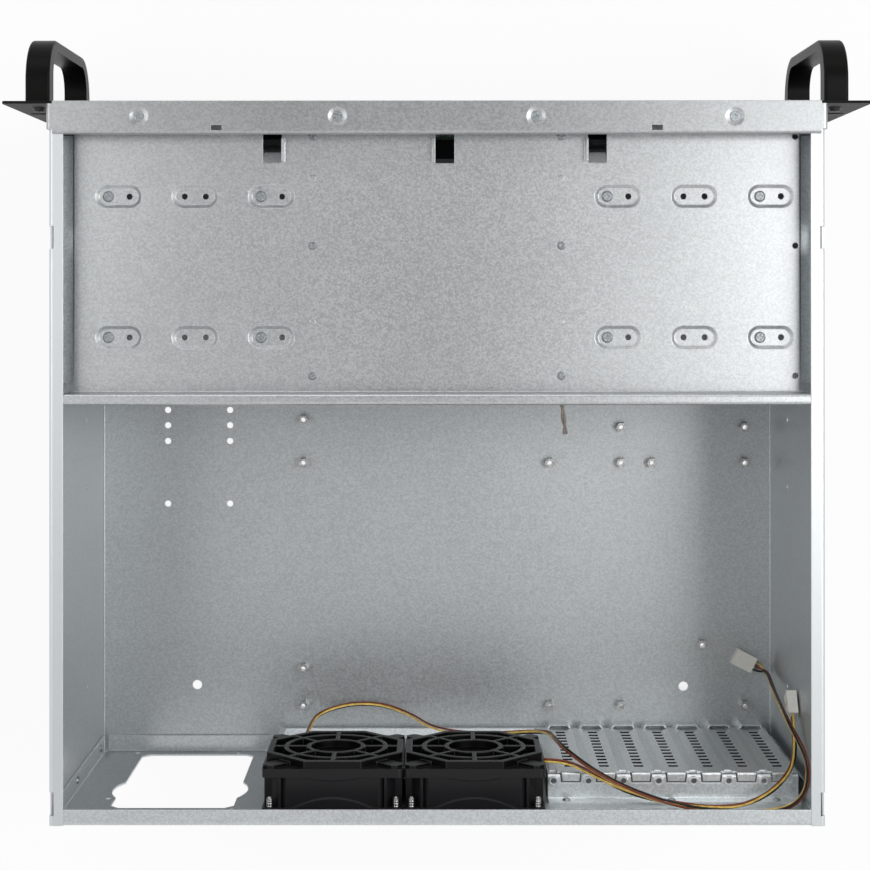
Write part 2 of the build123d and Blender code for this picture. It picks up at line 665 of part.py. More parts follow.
def light_pipes():
    """Clear rods from the board to the front."""
    face = -PANEL_SHEET - PIPE_PROUD
    return [along_y(flat, face, FRONT_BOARD_BACK) for flat in discs(pipe_spots(), PIPE_RADIUS)]


SWITCH_TOP = FRONT_BOARD_BACK - 4.5
SWITCH_PIN = 1.75
SWITCH_SIZE = 6.0
BUTTON_COLLAR = 1.2


def board_switches():
    """The two push switches behind the buttons."""
    solids = []
    for spot in button_spots():
        body = along_y(Pos(*spot) * Rectangle(SWITCH_SIZE, SWITCH_SIZE), SWITCH_TOP + 1, FRONT_BOARD_BACK)
        solids.append(body + along_y(Pos(*spot) * Circle(SWITCH_PIN), SWITCH_TOP, SWITCH_TOP + 1))
    return solids


def button(spot, radius, proud):
    """A cap with a collar behind the front wall and a stem towards its switch."""
    seat = SHEET + FIT
    rear = seat + BUTTON_COLLAR
    cap = along_y(Pos(*spot) * Circle(radius), -PANEL_SHEET - proud, seat)
    cap = fillet(cap.faces().sort_by(Axis.Y)[0].edges(), 0.6)
    collar = along_y(Pos(*spot) * Circle(radius + BUTTON_COLLAR), seat, rear)
    stem = along_y(Pos(*spot) * Circle(SWITCH_PIN - 0.25), rear, SWITCH_TOP - BUTTON_TRAVEL - 2 * FIT)
    return cap + collar + stem


# Drive-bay top plate and the cages below it

def recess_columns(side):
    """The recesses of one side's bays, which lie a little towards -X of each bay's middle."""
    return [side * middle - RECESS_SHIFT for middle in BAY_MIDDLES]


def drive_holes():
    """Two screw holes in each recess."""
    columns = recess_columns(1) + recess_columns(-1)
    shifts = (DRIVE_HOLE_GAP / 2, -DRIVE_HOLE_GAP / 2)
    return [(x + shift, y) for x in columns for y in RECESS_ROWS for shift in shifts]


def dish(spot, grow, low, high):
    """A pressed obround that narrows downwards from high to low."""
    wide = SlotOverall(RECESS_SIZE[0] + grow, RECESS_SIZE[1] + grow)
    narrow = SlotOverall(RECESS_FLOOR[0] + grow, RECESS_FLOOR[1] + grow)
    upper = Plane((spot[0], back(spot[1]), high)) * wide
    lower = Plane((spot[0], back(spot[1]), low)) * narrow
    return loft([lower.face(), upper.face()], ruled=True)


def plate_flap(x, away):
    """A flap folded up along one side of a notch, on the side that away points to."""
    level = PLATE_TOP - SHEET / 2
    skin = x + away * SHEET / 2
    path = [(x + away * 4 * BEND, level), (skin, level), (skin, level + FLAP_RISE)]
    return along_y(fold(path), STRIP_DEPTH + 1, NOTCH_END - 1)


def plate_tongue(x):
    """The pressed-down tongue at a notch's rear end."""
    level = PLATE_TOP - SHEET / 2
    path = [(NOTCH_END + 2, level), (NOTCH_END, level), (NOTCH_END - TONGUE_LENGTH, level - TONGUE_DROP)]
    return along_x(fold(path), x - NOTCH_WIDTH / 2 + HAIR, x + NOTCH_WIDTH / 2 - HAIR)


def bay_top_plate():
    """The plate over the drive bays, whose rear edge is folded up into a bar."""
    level = PLATE_TOP - SHEET / 2
    crest = PAN_TOP - SHEET / 2
    front = BAR_FRONT + SHEET / 2
    rear = BAR_FRONT + BAR_WIDTH - SHEET / 2
    section = [(PLATE_FRONT, level), (front, level), (front, crest), (rear, crest), (rear, PAN_TOP - BAR_LIP)]
    plate = along_x(fold(section), -FLANGE_EDGE + FIT, FLANGE_EDGE - FIT)
    for side in (1, -1):
        edges = span(side, PLATE_HALF, FLANGE_EDGE + 1)
        plate -= block(edges, (0, BAR_FRONT - BEND), (PLATE_UNDER - 1, PLATE_TOP + 4))
    spots = [(x, y) for x in recess_columns(1) + recess_columns(-1) for y in RECESS_ROWS]
    plate += [dish(spot, SHEET / 2, PLATE_UNDER - RECESS_DEPTH, PLATE_UNDER) for spot in spots]
    plate -= [dish(spot, -SHEET / 2, PLATE_TOP - RECESS_DEPTH, PLATE_TOP) for spot in spots]
    flats = discs(drive_holes(), DRIVE_HOLE)
    for y in CAGE_SCREW_ROWS:
        flats += discs(mirror_pair(CAGE_SCREW_X, y), PLATE_SCREW[2] + HAIR)
        flats += discs([(2 * SHEET - PLATE_HALF, y)], DRIVE_HOLE)
    reach = NOTCH_WIDTH / 2
    flats += [panel((x - reach, PLATE_FRONT - 1), (x + reach, NOTCH_END)) for x in NOTCH_SPOTS]
    plate -= [along_z(flat, PLATE_UNDER - RECESS_DEPTH - 1, PLATE_TOP + 1) for flat in flats]
    left, middle, right = NOTCH_SPOTS
    plate += [plate_flap(left + reach, 1), plate_flap(middle + reach, 1), plate_flap(right - reach, -1)]
    plate += [plate_tongue(left), plate_tongue(right)]
    radius, rise = DIMPLE
    for y in DIMPLE_ROWS:
        bumps = discs(mirror_pair(CAGE_SCREW_X, y), radius)
        plate += [along_z(flat, PLATE_TOP - HAIR, PLATE_TOP + rise) for flat in bumps]
    return plate


BAY_SCREW = (3.2, 1.5, 1.6, 4.5)
PLATE_SCREW = (2.3, 1.3, 1.4, 4.0)


def pan_screw(spot, base, sizes):
    """An upright screw with a cross recess, whose head rests at base."""
    radius, rise, shank, length = sizes
    head = cone_up(spot, base, rise, radius, radius * 0.72)
    head -= along_z(cross(spot, radius * 1.1), base + rise / 2, base + rise + 1)
    return head + along_z(Pos(*spot) * Circle(shank), base - length, base)


def bay_screws():
    """The drive screws left in the outer and inner recesses of each side."""
    columns = recess_columns(1)[::2] + recess_columns(-1)[::2]
    floor = PLATE_TOP - RECESS_DEPTH
    return [pan_screw((x + DRIVE_HOLE_GAP / 2, y), floor, BAY_SCREW) for x in columns for y in RECESS_ROWS]


def plate_screws():
    """The small screws from the plate into the cages' top flanges."""
    spots = [spot for y in CAGE_SCREW_ROWS for spot in mirror_pair(CAGE_SCREW_X, y)]
    return [pan_screw(spot, PLATE_TOP, PLATE_SCREW) for spot in spots]


def cage_foot(end, inward):
    """The section of a foot: down from the tray's end and out along the floor."""
    tray = CAGE_TRAY - SHEET / 2
    skin = end - inward * SHEET / 2
    floor = SHEET * 1.5
    near, far = end - inward * CAGE_FOOT, end + inward * CAGE_FOOT
    return fold([(near, tray), (skin, tray), (skin, floor), (far, floor)])


def drive_cage(side):
    """A folded tray with an inner and an outer wall, standing on two feet."""
    wall = BAY_INNER - FIT - SHEET / 2
    outer = BAY_OUTER + SHEET
    top = PLATE_UNDER - SHEET / 2
    tray = CAGE_TRAY - SHEET / 2
    path = [(wall - CAGE_FLANGE, top), (wall, top), (wall, tray), (outer, tray), (outer, CAGE_SIDE)]
    cage = along_y(fold([(side * x, z) for x, z in path]), CAGE_FRONT, CAGE_REAR)
    zone = span(side, BAY_INNER + 4, BAY_OUTER - 4)
    ends = ((CAGE_FRONT - 1, CAGE_FRONT + CAGE_FOOT / 2), (CAGE_REAR - CAGE_FOOT / 2, CAGE_REAR + 1))
    cage -= [block(zone, end, (tray - 1, tray + 1)) for end in ends]
    cage += along_x(cage_foot(CAGE_REAR, 1), *zone)
    front_foot = [(CAGE_FRONT + CAGE_FOOT, SHEET * 1.5), (CAGE_FRONT + SHEET / 2, SHEET * 1.5)]
    front_foot += [(CAGE_FRONT + SHEET / 2, tray), (CAGE_FRONT + CAGE_FOOT + 4, tray)]
    cage += along_x(fold(front_foot), *zone)
    cage -= [along_z(flat, SHEET / 2, SHEET * 2.5) for flat in discs(floor_rivet_spots(side), RIVET_SHANK)]
    screw_holes = discs([(side * CAGE_SCREW_X, y) for y in CAGE_SCREW_ROWS], PLATE_SCREW[2] + HAIR)
    cage -= [along_z(flat, PLATE_UNDER - SHEET - 1, PLATE_UNDER + 1) for flat in screw_holes]
    low, high = WINDOW_HEIGHTS[0], BODY_HEIGHT - WINDOW_HEIGHTS[1]
    length = (CAGE_REAR - CAGE_FRONT - 3 * WINDOW_MARGIN) / 2
    window = RectangleRounded(length, high - low, length / 6)
    for y in (CAGE_FRONT + WINDOW_MARGIN + length / 2, CAGE_REAR - WINDOW_MARGIN - length / 2):
        cage -= along_x(Pos(y, (low + high) / 2) * window, *span(side, wall - 2, wall + 2))
    slots = [Pos(x, y) * SlotOverall(19.0, 3.6) for x in recess_columns(side) for y in RECESS_ROWS]
    return cage - [along_z(flat, tray - 1, tray + 1) for flat in slots]


# Rear panel, slot frame and slot covers

def supply_opening():
    """The power supply's opening with clipped corners and a round that bulges past both sides."""
    opening = chamfer(panel(SUPPLY_LOW, SUPPLY_HIGH).vertices(), SUPPLY_CORNER)
    return opening + Pos(SUPPLY_MIDDLE, BODY_HEIGHT - SUPPLY_ROUND_DROP) * Circle(SUPPLY_ROUND)


def supply_screw_spots():
    """The four screw holes round the supply's opening, turned for an upright unit."""
    side = SUPPLY_LOW[0] - SUPPLY_MARGIN
    base = (SUPPLY_LOW[1] + SUPPLY_HIGH[1] - SUPPLY_UNIT) / 2
    return [(side + x, base + z) for x, z in SUPPLY_HOLES]


FAN_VENTS = ((8.0, 15.0), (18.0, 25.0), (28.0, 35.0))
FAN_BRIDGE = 4.0


def quarter_bars(reach, length, width):
    """Four bars across the diagonals, centred this far out."""
    return [Rotation(0, 0, 45 + 90 * i) * Pos(reach, 0) * Rectangle(length, width) for i in range(4)]


def fan_grille(middle):
    """Ring-shaped vents with four bridges, behind one fan."""
    grille = Sketch() + [Circle(outer) - Circle(inner) for inner, outer in FAN_VENTS]
    reach = FAN_VENTS[-1][1]
    return Pos(middle, FAN_MIDDLE) * (grille - quarter_bars(reach / 2 + 2, reach + 9, FAN_BRIDGE))


REAR_VENT = (6.0, 2.6)
REAR_VENT_PITCH = 9.0
REAR_VENT_COUNT = 15
REAR_VENT_DROP = 33.0
REAR_VENT_INSET = 7.0


def rear_panel():
    """The rear wall, open for the supply, the fans' air and the inset slot frame."""
    wall = end_panel(BODY_DEPTH, -1, REAR_LIP, REAR_FOOT, END_SIDE_DEPTH)
    flats = [supply_opening()] + discs(supply_screw_spots(), FAN_SCREW + FIT)
    flats += [fan_grille(middle) for middle in FAN_SPOTS]
    flats += discs(shelf_rivet_spots(), RIVET_SHANK)
    start = SLOT_INNER_X - REAR_VENT_INSET
    height = BODY_HEIGHT - REAR_VENT_DROP
    vents = [(start - i * REAR_VENT_PITCH, height) for i in range(REAR_VENT_COUNT)]
    flats += [Pos(*spot) * Rectangle(*REAR_VENT) for spot in vents]
    ledge = SHEET * 2
    flats.append(panel((SLOT_OUTER_X + SHEET, ledge), (SLOT_INNER_X - SHEET, SLOT_SHELF - SHEET)))
    flats.append(panel((SLOT_INNER_X - SHEET, ledge), (IO_FRAME_X - SHEET, IO_SHELF - SHEET)))
    wall -= [along_y(flat, REAR_INNER - 1, BODY_DEPTH + 1) for flat in flats]
    radii = (FAN_SCREW + FIT, FAN_SCREW_HEAD + FIT)
    return wall - [cone_back(spot, REAR_INNER, SHEET, *radii) for spot in fan_screw_spots()]


POCKET_HEIGHT = (SHEET, 11.0)
POCKET_REACH = 2.6
POCKET_HALVES = (7.4, 5.2)
TAIL_LOW = SHEET + 2.6
TAB_HALVES = (5.6, 4.8)
TAB_LENGTH = 4.2


def trapezoid(middle, near, near_half, far, far_half):
    """A flat as wide as near_half at one distance back and far_half at the other."""
    return make_face(
        Polyline(
            (middle - near_half, near),
            (middle - far_half, far),
            (middle + far_half, far),
            (middle + near_half, near),
            close=True,
        )
    )


def pocket(middle, grow):
    """The arched pocket at the foot of a slot, narrower towards the front."""
    wide, narrow = [half + grow for half in POCKET_HALVES]
    return trapezoid(middle, SLOT_WALL + 0.01, wide, SLOT_WALL - POCKET_REACH - grow, narrow)


def slot_notch(middle, grow):
    """The trapezoid in the shelf that takes a cover's tab."""
    wide, narrow = [half + grow for half in TAB_HALVES]
    return trapezoid(middle, SLOT_WALL - 2, wide, SLOT_WALL + TAB_LENGTH + grow, narrow)


def slot_frame():
    """The inset wall of the slots and board connectors with its two shelves."""
    wall = SLOT_WALL + SHEET / 2
    floor = SHEET * 1.5
    shelf = SLOT_SHELF - SHEET / 2
    heel = REAR_INNER - SHEET / 2
    low_shelf = IO_SHELF - SHEET / 2
    high = fold([(SLOT_FOOT, floor), (wall, floor), (wall, shelf), (heel, shelf), (heel, SLOT_SHELF + 8)])
    low = fold([(SLOT_FOOT, floor), (wall, floor), (wall, low_shelf), (REAR_INNER, low_shelf)])
    frame = along_x(high, SLOT_OUTER_X, SLOT_INNER_X) + along_x(low, SLOT_INNER_X, IO_FRAME_X)
    base = SHEET * 2 + BEND
    cheeks = (
        (SLOT_OUTER_X, base, SLOT_SHELF),
        (SLOT_INNER_X - SHEET, IO_SHELF - SHEET, SLOT_SHELF),
        (IO_FRAME_X - SHEET, base, IO_SHELF),
    )
    for x, lowest, top in cheeks:
        frame += block((x, x + SHEET), (wall, REAR_INNER), (lowest, top - BEND))
    rib_half = (SLOT_PITCH - COVER_WIDTH) / 2 - FIT
    roof = SLOT_SHELF - SHEET - 3
    depths = (SLOT_WALL - COVER_SHEET, SLOT_WALL)
    rim, rise = SLOT_HOLE_RIM
    for middle in SLOT_SPOTS:
        side = middle + SLOT_PITCH / 2
        frame += block((side - rib_half, side + rib_half), depths, (POCKET_HEIGHT[1], SLOT_SHELF - 6))
        frame += along_z(pocket(middle, COVER_SHEET), *POCKET_HEIGHT)
        ring = Pos(side, SLOT_WALL + TAB_LENGTH) * Circle(rim)
        frame += along_z(ring, SLOT_SHELF - HAIR, SLOT_SHELF + rise)
    for middle in SLOT_SPOTS:
        frame -= along_z(pocket(middle, 0), SHEET + 1.6, POCKET_HEIGHT[1] + 1)
        frame -= along_z(slot_notch(middle, 1.0), roof, SLOT_SHELF + 2)
        opening = panel((middle - SLOT_OPENING / 2, SLOT_LOW), (middle + SLOT_OPENING / 2, roof))
        frame -= along_y(opening, SLOT_WALL - 1, SLOT_WALL + SHEET + 1)
        hole = Pos(middle + SLOT_PITCH / 2, SLOT_WALL + TAB_LENGTH) * Circle(SLOT_HOLE)
        frame -= along_z(hole, SLOT_SHELF - SHEET - 1, SLOT_SHELF + 2)
    connector = panel((IO_X - IO_SIZE[0], IO_LOW), (IO_X, IO_LOW + IO_SIZE[1]))
    frame -= along_y(connector, SLOT_WALL - 1, SLOT_WALL + SHEET + 1)
    holes = discs(shelf_rivet_spots(), RIVET_SHANK)
    return frame - [along_y(flat, REAR_INNER - SHEET - 1, REAR_INNER + 1) for flat in holes]


def slot_cover(middle):
    """A ladder-vented cover with a tail in its pocket and a tab in the shelf."""
    skin = SLOT_WALL - COVER_SHEET / 2
    level = SLOT_SHELF - COVER_SHEET / 2
    foot = POCKET_HEIGHT[1] + 0.4
    section = fold([(skin, foot), (skin, level), (SLOT_WALL + TAB_LENGTH, level)], COVER_SHEET, COVER_SHEET)
    cover = along_x(section, middle - COVER_WIDTH / 2, middle + COVER_WIDTH / 2)
    neck = SLOT_SHELF - 2 * COVER_SHEET - SHEET
    keep = along_z(slot_notch(middle, 0), neck, SLOT_SHELF + 1)
    keep += block((middle - COVER_WIDTH, middle + COVER_WIDTH), (SLOT_WALL - 5, SLOT_WALL + 1), (0, neck))
    cover &= keep
    tail = POCKET_HALVES[1] - 0.6
    cover += block((middle - tail, middle + tail), (SLOT_WALL - COVER_SHEET, SLOT_WALL), (TAIL_LOW, foot))
    heights = [COVER_VENT_LOW + i * COVER_VENT_PITCH for i in range(COVER_VENTS)]
    vents = [Pos(middle, height) * Rectangle(*COVER_VENT_SIZE) for height in heights]
    return cover - [along_y(vent, SLOT_WALL - 2, SLOT_WALL + 1) for vent in vents]


# Fans

def fan_flare(middle, low, length, first, last):
    """A conical end of the barrel's outside, trimmed to the fan's square."""
    cone = cone_back((middle, FAN_MIDDLE), low, length, first, last)
    return cone & along_y(Pos(middle, FAN_MIDDLE) * Rectangle(FAN_SIZE, FAN_SIZE), low, low + length)


def fan_frame(middle):
    """Two flanges on a flat-sided barrel with flared ends, and struts that carry the motor."""
    centre = Pos(middle, FAN_MIDDLE)
    reach = FAN_HOLE_SPACING / 2
    square = RectangleRounded(FAN_SIZE, FAN_SIZE, 3.0)
    square -= [Pos(x * reach, z * reach) * Circle(FAN_HOLE) for x in (1, -1) for z in (1, -1)]
    body = Rectangle(2 * FAN_BODY, 2 * FAN_BODY) & Circle(FAN_BODY_CORNER)
    offset, thick = FAN_RIB
    for i in range(4):
        turn = Rotation(0, 0, 90 * i)
        body += [turn * Pos(x, FAN_BODY - 2) * Rectangle(thick, 4) for x in (offset, -offset)]
    neck = FAN_FRONT + FAN_FRONT_FLANGE
    frame = along_y(centre * square, FAN_FRONT, neck) + along_y(centre * square, FAN_REAR, REAR_INNER)
    frame += along_y(centre * body, neck - HAIR, FAN_REAR + HAIR)
    frame += fan_flare(middle, neck, FAN_FRONT_FLARE[1], FAN_FRONT_FLARE[0], FAN_BODY)
    frame += fan_flare(middle, FAN_REAR - FAN_FLARE[1], FAN_FLARE[1], FAN_BODY, FAN_FLARE[0])
    frame -= along_y(centre * Circle(FAN_BORE), FAN_FRONT - 1, REAR_INNER + 1)
    struts = Sketch() + quarter_bars(FAN_BORE / 2 + 7.4, FAN_BORE - 13.2, 3.2) + Circle(FAN_HUB)
    frame += along_y(centre * struts, FAN_REAR, REAR_INNER)
    frame += along_y(centre * Circle(4.0), FAN_FRONT + 4, FAN_REAR + HAIR)
    return frame - along_y(centre * Circle(FAN_SHAFT + SHAFT_CLEARANCE), FAN_FRONT, REAR_INNER - 1)


BLADE_SHEET = 1.3
BLADE_ROOT = (38, 17.5)
BLADE_TIP = (60, 23.0)
BLADE_MIDDLE = 11.0


def fan_blade(middle, turn):
    """One twisted blade from the hub to just inside the barrel."""
    start = Plane((middle, back(FAN_FRONT + BLADE_MIDDLE), FAN_MIDDLE), x_dir=(0, 1, 0), z_dir=(1, 0, 0))
    sections = []
    for radius, (pitch, chord) in ((FAN_HUB - 1.5, BLADE_ROOT), (FAN_BORE - 0.9, BLADE_TIP)):
        level = start * Pos(0, 0, radius) * Rot(0, 0, pitch)
        sections.append((level * Rectangle(chord, BLADE_SHEET)).face())
    blade = loft(sections, ruled=True)
    return blade.rotate(Axis((middle, 0, FAN_MIDDLE), (0, 1, 0)), turn)


def fan_rotor(middle):
    """The hub cup with its blades and shaft."""
    centre = Pos(middle, FAN_MIDDLE)
    front = FAN_FRONT + 1.0
    rear = FAN_REAR - 0.6
    hub = along_y(centre * Circle(FAN_HUB), front, rear)
    hub = fillet(hub.faces().sort_by(Axis.Y)[0].edges(), 1.2)
    hub -= along_y(centre * Circle(FAN_HUB - 1.4), front + 1.6, REAR_INNER)
    rotor = hub + along_y(centre * Circle(FAN_SHAFT), front + 1, REAR_INNER - 1.2)
    space = along_y(centre * (Circle(FAN_BORE - 0.6) - Circle(FAN_HUB - 1.2)), front, rear)
    for i in range(FAN_BLADES):
        rotor += fan_blade(middle, 360 / FAN_BLADES * i) & space
    return rotor


def fan_guard(middle):
    """A moulded finger guard: a deep octagonal rim with rings and spokes, and thin pegged ears."""
    half = GUARD_ACROSS / 2
    flat = RegularPolygon(half, 8, major_radius=False, rotation=22.5)
    flat -= RegularPolygon(half - GUARD_RIM, 8, major_radius=False, rotation=22.5)
    for radius in GUARD_RINGS:
        flat += Circle(radius + GUARD_RING_WIDTH / 2) - Circle(radius - GUARD_RING_WIDTH / 2)
    first, last = GUARD_RINGS[1], half - GUARD_RIM / 2
    spoke = Pos((first + last) / 2, 0) * Rectangle(last - first, GUARD_SPOKE)
    flat += [Rotation(0, 0, 45 * i) * spoke for i in range(8)]
    reach = FAN_HOLE_SPACING / 2
    spots = [(x * reach, z * reach) for x in (1, -1) for z in (1, -1)]
    ears = Sketch() + quarter_bars(reach * math.sqrt(2) - 4.6, 15.4, 8.4)
    ears &= Rectangle(FAN_SIZE - 1, FAN_SIZE - 1)
    centre = Pos(middle, FAN_MIDDLE)
    guard = along_y(centre * flat, GUARD_FRONT, FAN_FRONT)
    guard += along_y(centre * ears, FAN_FRONT - GUARD_EAR_DEPTH, FAN_FRONT)
    radius, length = GUARD_PEG
    pegs = [centre * flat for flat in discs(spots, radius)]
    return guard + [along_y(peg, FAN_FRONT - HAIR, FAN_FRONT + length) for peg in pegs]


def fan_screws():
    """Countersunk screws through the rear wall into the fans' rear flanges."""
    solids = []
    tip = FAN_REAR - FAN_SCREW_PROUD
    for spot in fan_screw_spots():
        screw = cone_back(spot, REAR_INNER, SHEET, FAN_SCREW, FAN_SCREW_HEAD)
        screw -= along_y(cross(spot, FAN_SCREW_HEAD * 1.1), BODY_DEPTH - SHEET / 2, BODY_DEPTH + 1)
        screw += along_y(Pos(*spot) * Circle(FAN_SCREW), tip + 1, REAR_INNER)
        solids.append(screw + cone_back(spot, tip, 1, FAN_SCREW / 2, FAN_SCREW))
    return solids


# Standoffs and rivets

def standoffs():
    """Hexagonal board supports on the floor."""
    flat = RegularPolygon(STANDOFF_RADIUS, 6) - Circle(STANDOFF_BORE)
    return [along_z(Pos(*spot) * flat, SHEET, SHEET + STANDOFF_HEIGHT) for spot in standoff_spots()]


def rivets():
    """Blind rivets with their heads on the inside."""
    solids = []
    wide, narrow, rise = RIVET_HEAD
    shank = Circle(RIVET_SHANK - HAIR)
    cap = Cone(wide, narrow, rise, align=(Align.CENTER, Align.CENTER, Align.MIN))
    for side in (1, -1):
        face = END_HALF - SHEET
        for y, z in side_rivet_spots():
            stem = along_x(Pos(y, z) * shank, *span(side, face, BODY_WIDTH / 2))
            solids.append(stem + Plane((side * face, back(y), z), z_dir=(-side, 0, 0)) * cap)
        for spot in floor_rivet_spots(side):
            stem = along_z(Pos(*spot) * shank, 0, SHEET * 2)
            solids.append(stem + Plane((spot[0], back(spot[1]), SHEET * 2)) * cap)
    face = REAR_INNER - SHEET
    for x, z in shelf_rivet_spots():
        stem = along_y(Pos(x, z) * shank, face, BODY_DEPTH)
        solids.append(stem + Plane((x, back(face), z), z_dir=(0, -1, 0)) * cap)
    return solids


# Fan leads: each point is (X, distance back, height)

LEAD_1_POINTS = (
    (79.5, 375.5, FAN_BOTTOM),
    (79.5, 375.5, 34.0),
    (75.5, 372.6, 11.0),
    (57.0, 368.2, 3.2),
    (35.0, 368.4, 3.4),
    (16.5, 373.6, 12.5),
    (4.5, 377.2, 32.0),
    (-13.0, 377.8, 45.6),
    (-37.0, 377.8, 46.8),
    (-58.5, 376.4, 45.5),
    (-69.0, 372.8, 65.0),
    (-69.6, 369.6, 94.0),
    (-73.8, 369.8, 121.0),
    (-91.0, 379.5, 139.0),
    (-115.0, 390.5, 143.0),
    (-139.0, 395.6, 153.5),
    (-161.0, 396.6, 159.4),
    (-181.0, 396.4, 160.8),
    (-197.0, 394.6, 160.0),
    (-206.5, 387.4, 158.0),
    (-209.3, 377.0, 155.0),
    (-208.6, 367.5, 150.5),
    (-206.0, 360.5, 139.0),
    (-204.5, 356.3, 123.0),
    (-203.8, 351.6, 104.0),
    (-205.0, 350.2, 81.0),
    (-206.2, 348.6, 58.0),
    (-207.2, 346.6, 38.0),
    (-208.6, 346.4, 23.0),
    (-209.0, 346.6, 11.8),
    (-207.1, 346.0, 4.1),
    (-202.2, 343.5, 4.1),
)
LEAD_2_POINTS = (
    (FAN_SIDE, 376.3, 122.0),
    (-73.5, 376.3, 122.0),
    (-89.0, 382.0, 131.0),
    (-108.0, 391.0, 134.0),
    (-129.0, 395.6, 142.0),
    (-151.0, 396.5, 149.5),
    (-172.0, 396.2, 149.0),
    (-188.5, 392.0, 140.5),
    (-201.3, 382.7, 133.5),
    (-207.3, 375.0, 121.5),
    (-209.8, 366.5, 109.5),
    (-209.8, 355.0, 101.5),
)
CONNECTOR_SIZE = (5.8, 10.2, 14.0)
CONNECTOR_WAYS = 4
PIN_PITCH = 2.5
PIN_HOLE = (1.5, 6.0)
LATCH_HOLE = (0.8, 1.3, 4.0)


def lead_path(points):
    """Straight runs joined by arcs as large as the shorter run beside each corner allows."""
    places = [Vector(x, back(y), z) for x, y, z in points]
    radii = []
    for before, here, after in zip(places, places[1:], places[2:]):
        turn = (here - before).get_angle(after - here)
        shorter = min((here - before).length, (after - here).length)
        radii.append(0.45 * shorter / math.tan(math.radians(turn) / 2))
    print("lead corner radii", [round(radius, 1) for radius in radii])
    return FilletPolyline(*places, radius=radii)


def lead(points):
    """A round tube along a lead's path."""
    path = lead_path(points)
    start = Plane(path @ 0, z_dir=path % 0)
    tube = sweep(start * Circle(LEAD_RADIUS), path=path)
    ideal = math.pi * LEAD_RADIUS ** 2 * path.length
    print("lead length", round(path.length, 1), "volume ratio", round(tube.volume / ideal, 4))
    return tube


def connector(points, thin_way):
    """A white four-way socket on the end of a lead, with its latch windows and pin holes."""
    before, end = [Vector(x, back(y), z) for x, y, z in points[-2:]]
    place = Plane(end, x_dir=thin_way, z_dir=(end - before).normalized())
    thin, wide, length = CONNECTOR_SIZE
    ways = [Pos(0, (i - (CONNECTOR_WAYS - 1) / 2) * PIN_PITCH) for i in range(CONNECTOR_WAYS)]
    hole, depth = PIN_HOLE
    shell = extrude(place * Rectangle(thin, wide), length)
    bottom = place.offset(length - depth)
    shell -= [extrude(bottom * way * Rectangle(hole, hole), depth + 1) for way in ways]
    deep, tall, long = LATCH_HOLE
    window = Pos(-thin / 2, 0) * Rectangle(deep, tall)
    return shell - [extrude(place.offset(2) * way * window, long) for way in ways]


def write(name, shape):
    """Writes one node, made of one solid or a list of separate solids."""
    if isinstance(shape, list):
        shape = Compound(children=[solid for item in shape for solid in item.solids()])
    export_step(shape, os.path.join("parts", name + ".step"))


def main():
    """Makes every piece and writes it to its own file."""
    os.makedirs("parts", exist_ok=True)
    power, reset = button_spots()
    pieces = {
        "chassis_pan": chassis_pan(),
        "front_frame": front_frame(),
        "front_top_strip": front_top_strip(),
        "strip_screws": strip_screws(),
        "front_panel": front_panel(),
        "handle_right": handle(1),
        "handle_left": handle(-1),
        "handle_screws": handle_screws(),
        "front_board": front_board(),
        "board_posts": board_posts(),
        "board_housing": board_housing(),
        "usb_shells": usb_shells(),
        "usb_tongues": usb_tongues(),
        "light_pipes": light_pipes(),
        "board_switches": board_switches(),
        "power_button": button(power, POWER_RADIUS, 1.6),
        "reset_button": button(reset, RESET_RADIUS, 1.2),
        "bay_top_plate": bay_top_plate(),
        "bay_screws": bay_screws(),
        "plate_screws": plate_screws(),
        "drive_cage_right": drive_cage(1),
        "drive_cage_left": drive_cage(-1),
        "rear_panel": rear_panel(),
        "slot_frame": slot_frame(),
        "fan_screws": fan_screws(),
        "standoffs": standoffs(),
        "rivets": rivets(),
        "fan_lead_1": lead(LEAD_1_POINTS),
        "fan_lead_2": lead(LEAD_2_POINTS),
        "connector_1": connector(LEAD_1_POINTS, (0, 0, -1)),
        "connector_2": connector(LEAD_2_POINTS, (-1, 0, 0)),
    }
    bays = BAY_MIDDLES + [-middle for middle in BAY_MIDDLES]
    for index, middle in enumerate(bays):
        pieces[f"bay_cover_{index + 1}"] = bay_cover(middle)
    for index, middle in enumerate(SLOT_SPOTS):
        pieces[f"slot_cover_{index + 1}"] = slot_cover(middle)
    for index, middle in enumerate(FAN_SPOTS):
        pieces[f"fan_frame_{index + 1}"] = fan_frame(middle)
        pieces[f"fan_rotor_{index + 1}"] = fan_rotor(middle)
        pieces[f"fan_guard_{index + 1}"] = fan_guard(middle)
    for name, shape in pieces.items():
        write(name, shape)


if __name__ == "__main__":
    main()
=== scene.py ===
# %% [markdown]
# # An empty 4U server case, seen from above
#
# The case comes in as a finished model: folded zinc-coated sheets, a black front panel with two bow
# handles, and two fans at the rear. This script gives every sheet and moulding its finish and lays the
# fan leads. The first step loads the model.

import math

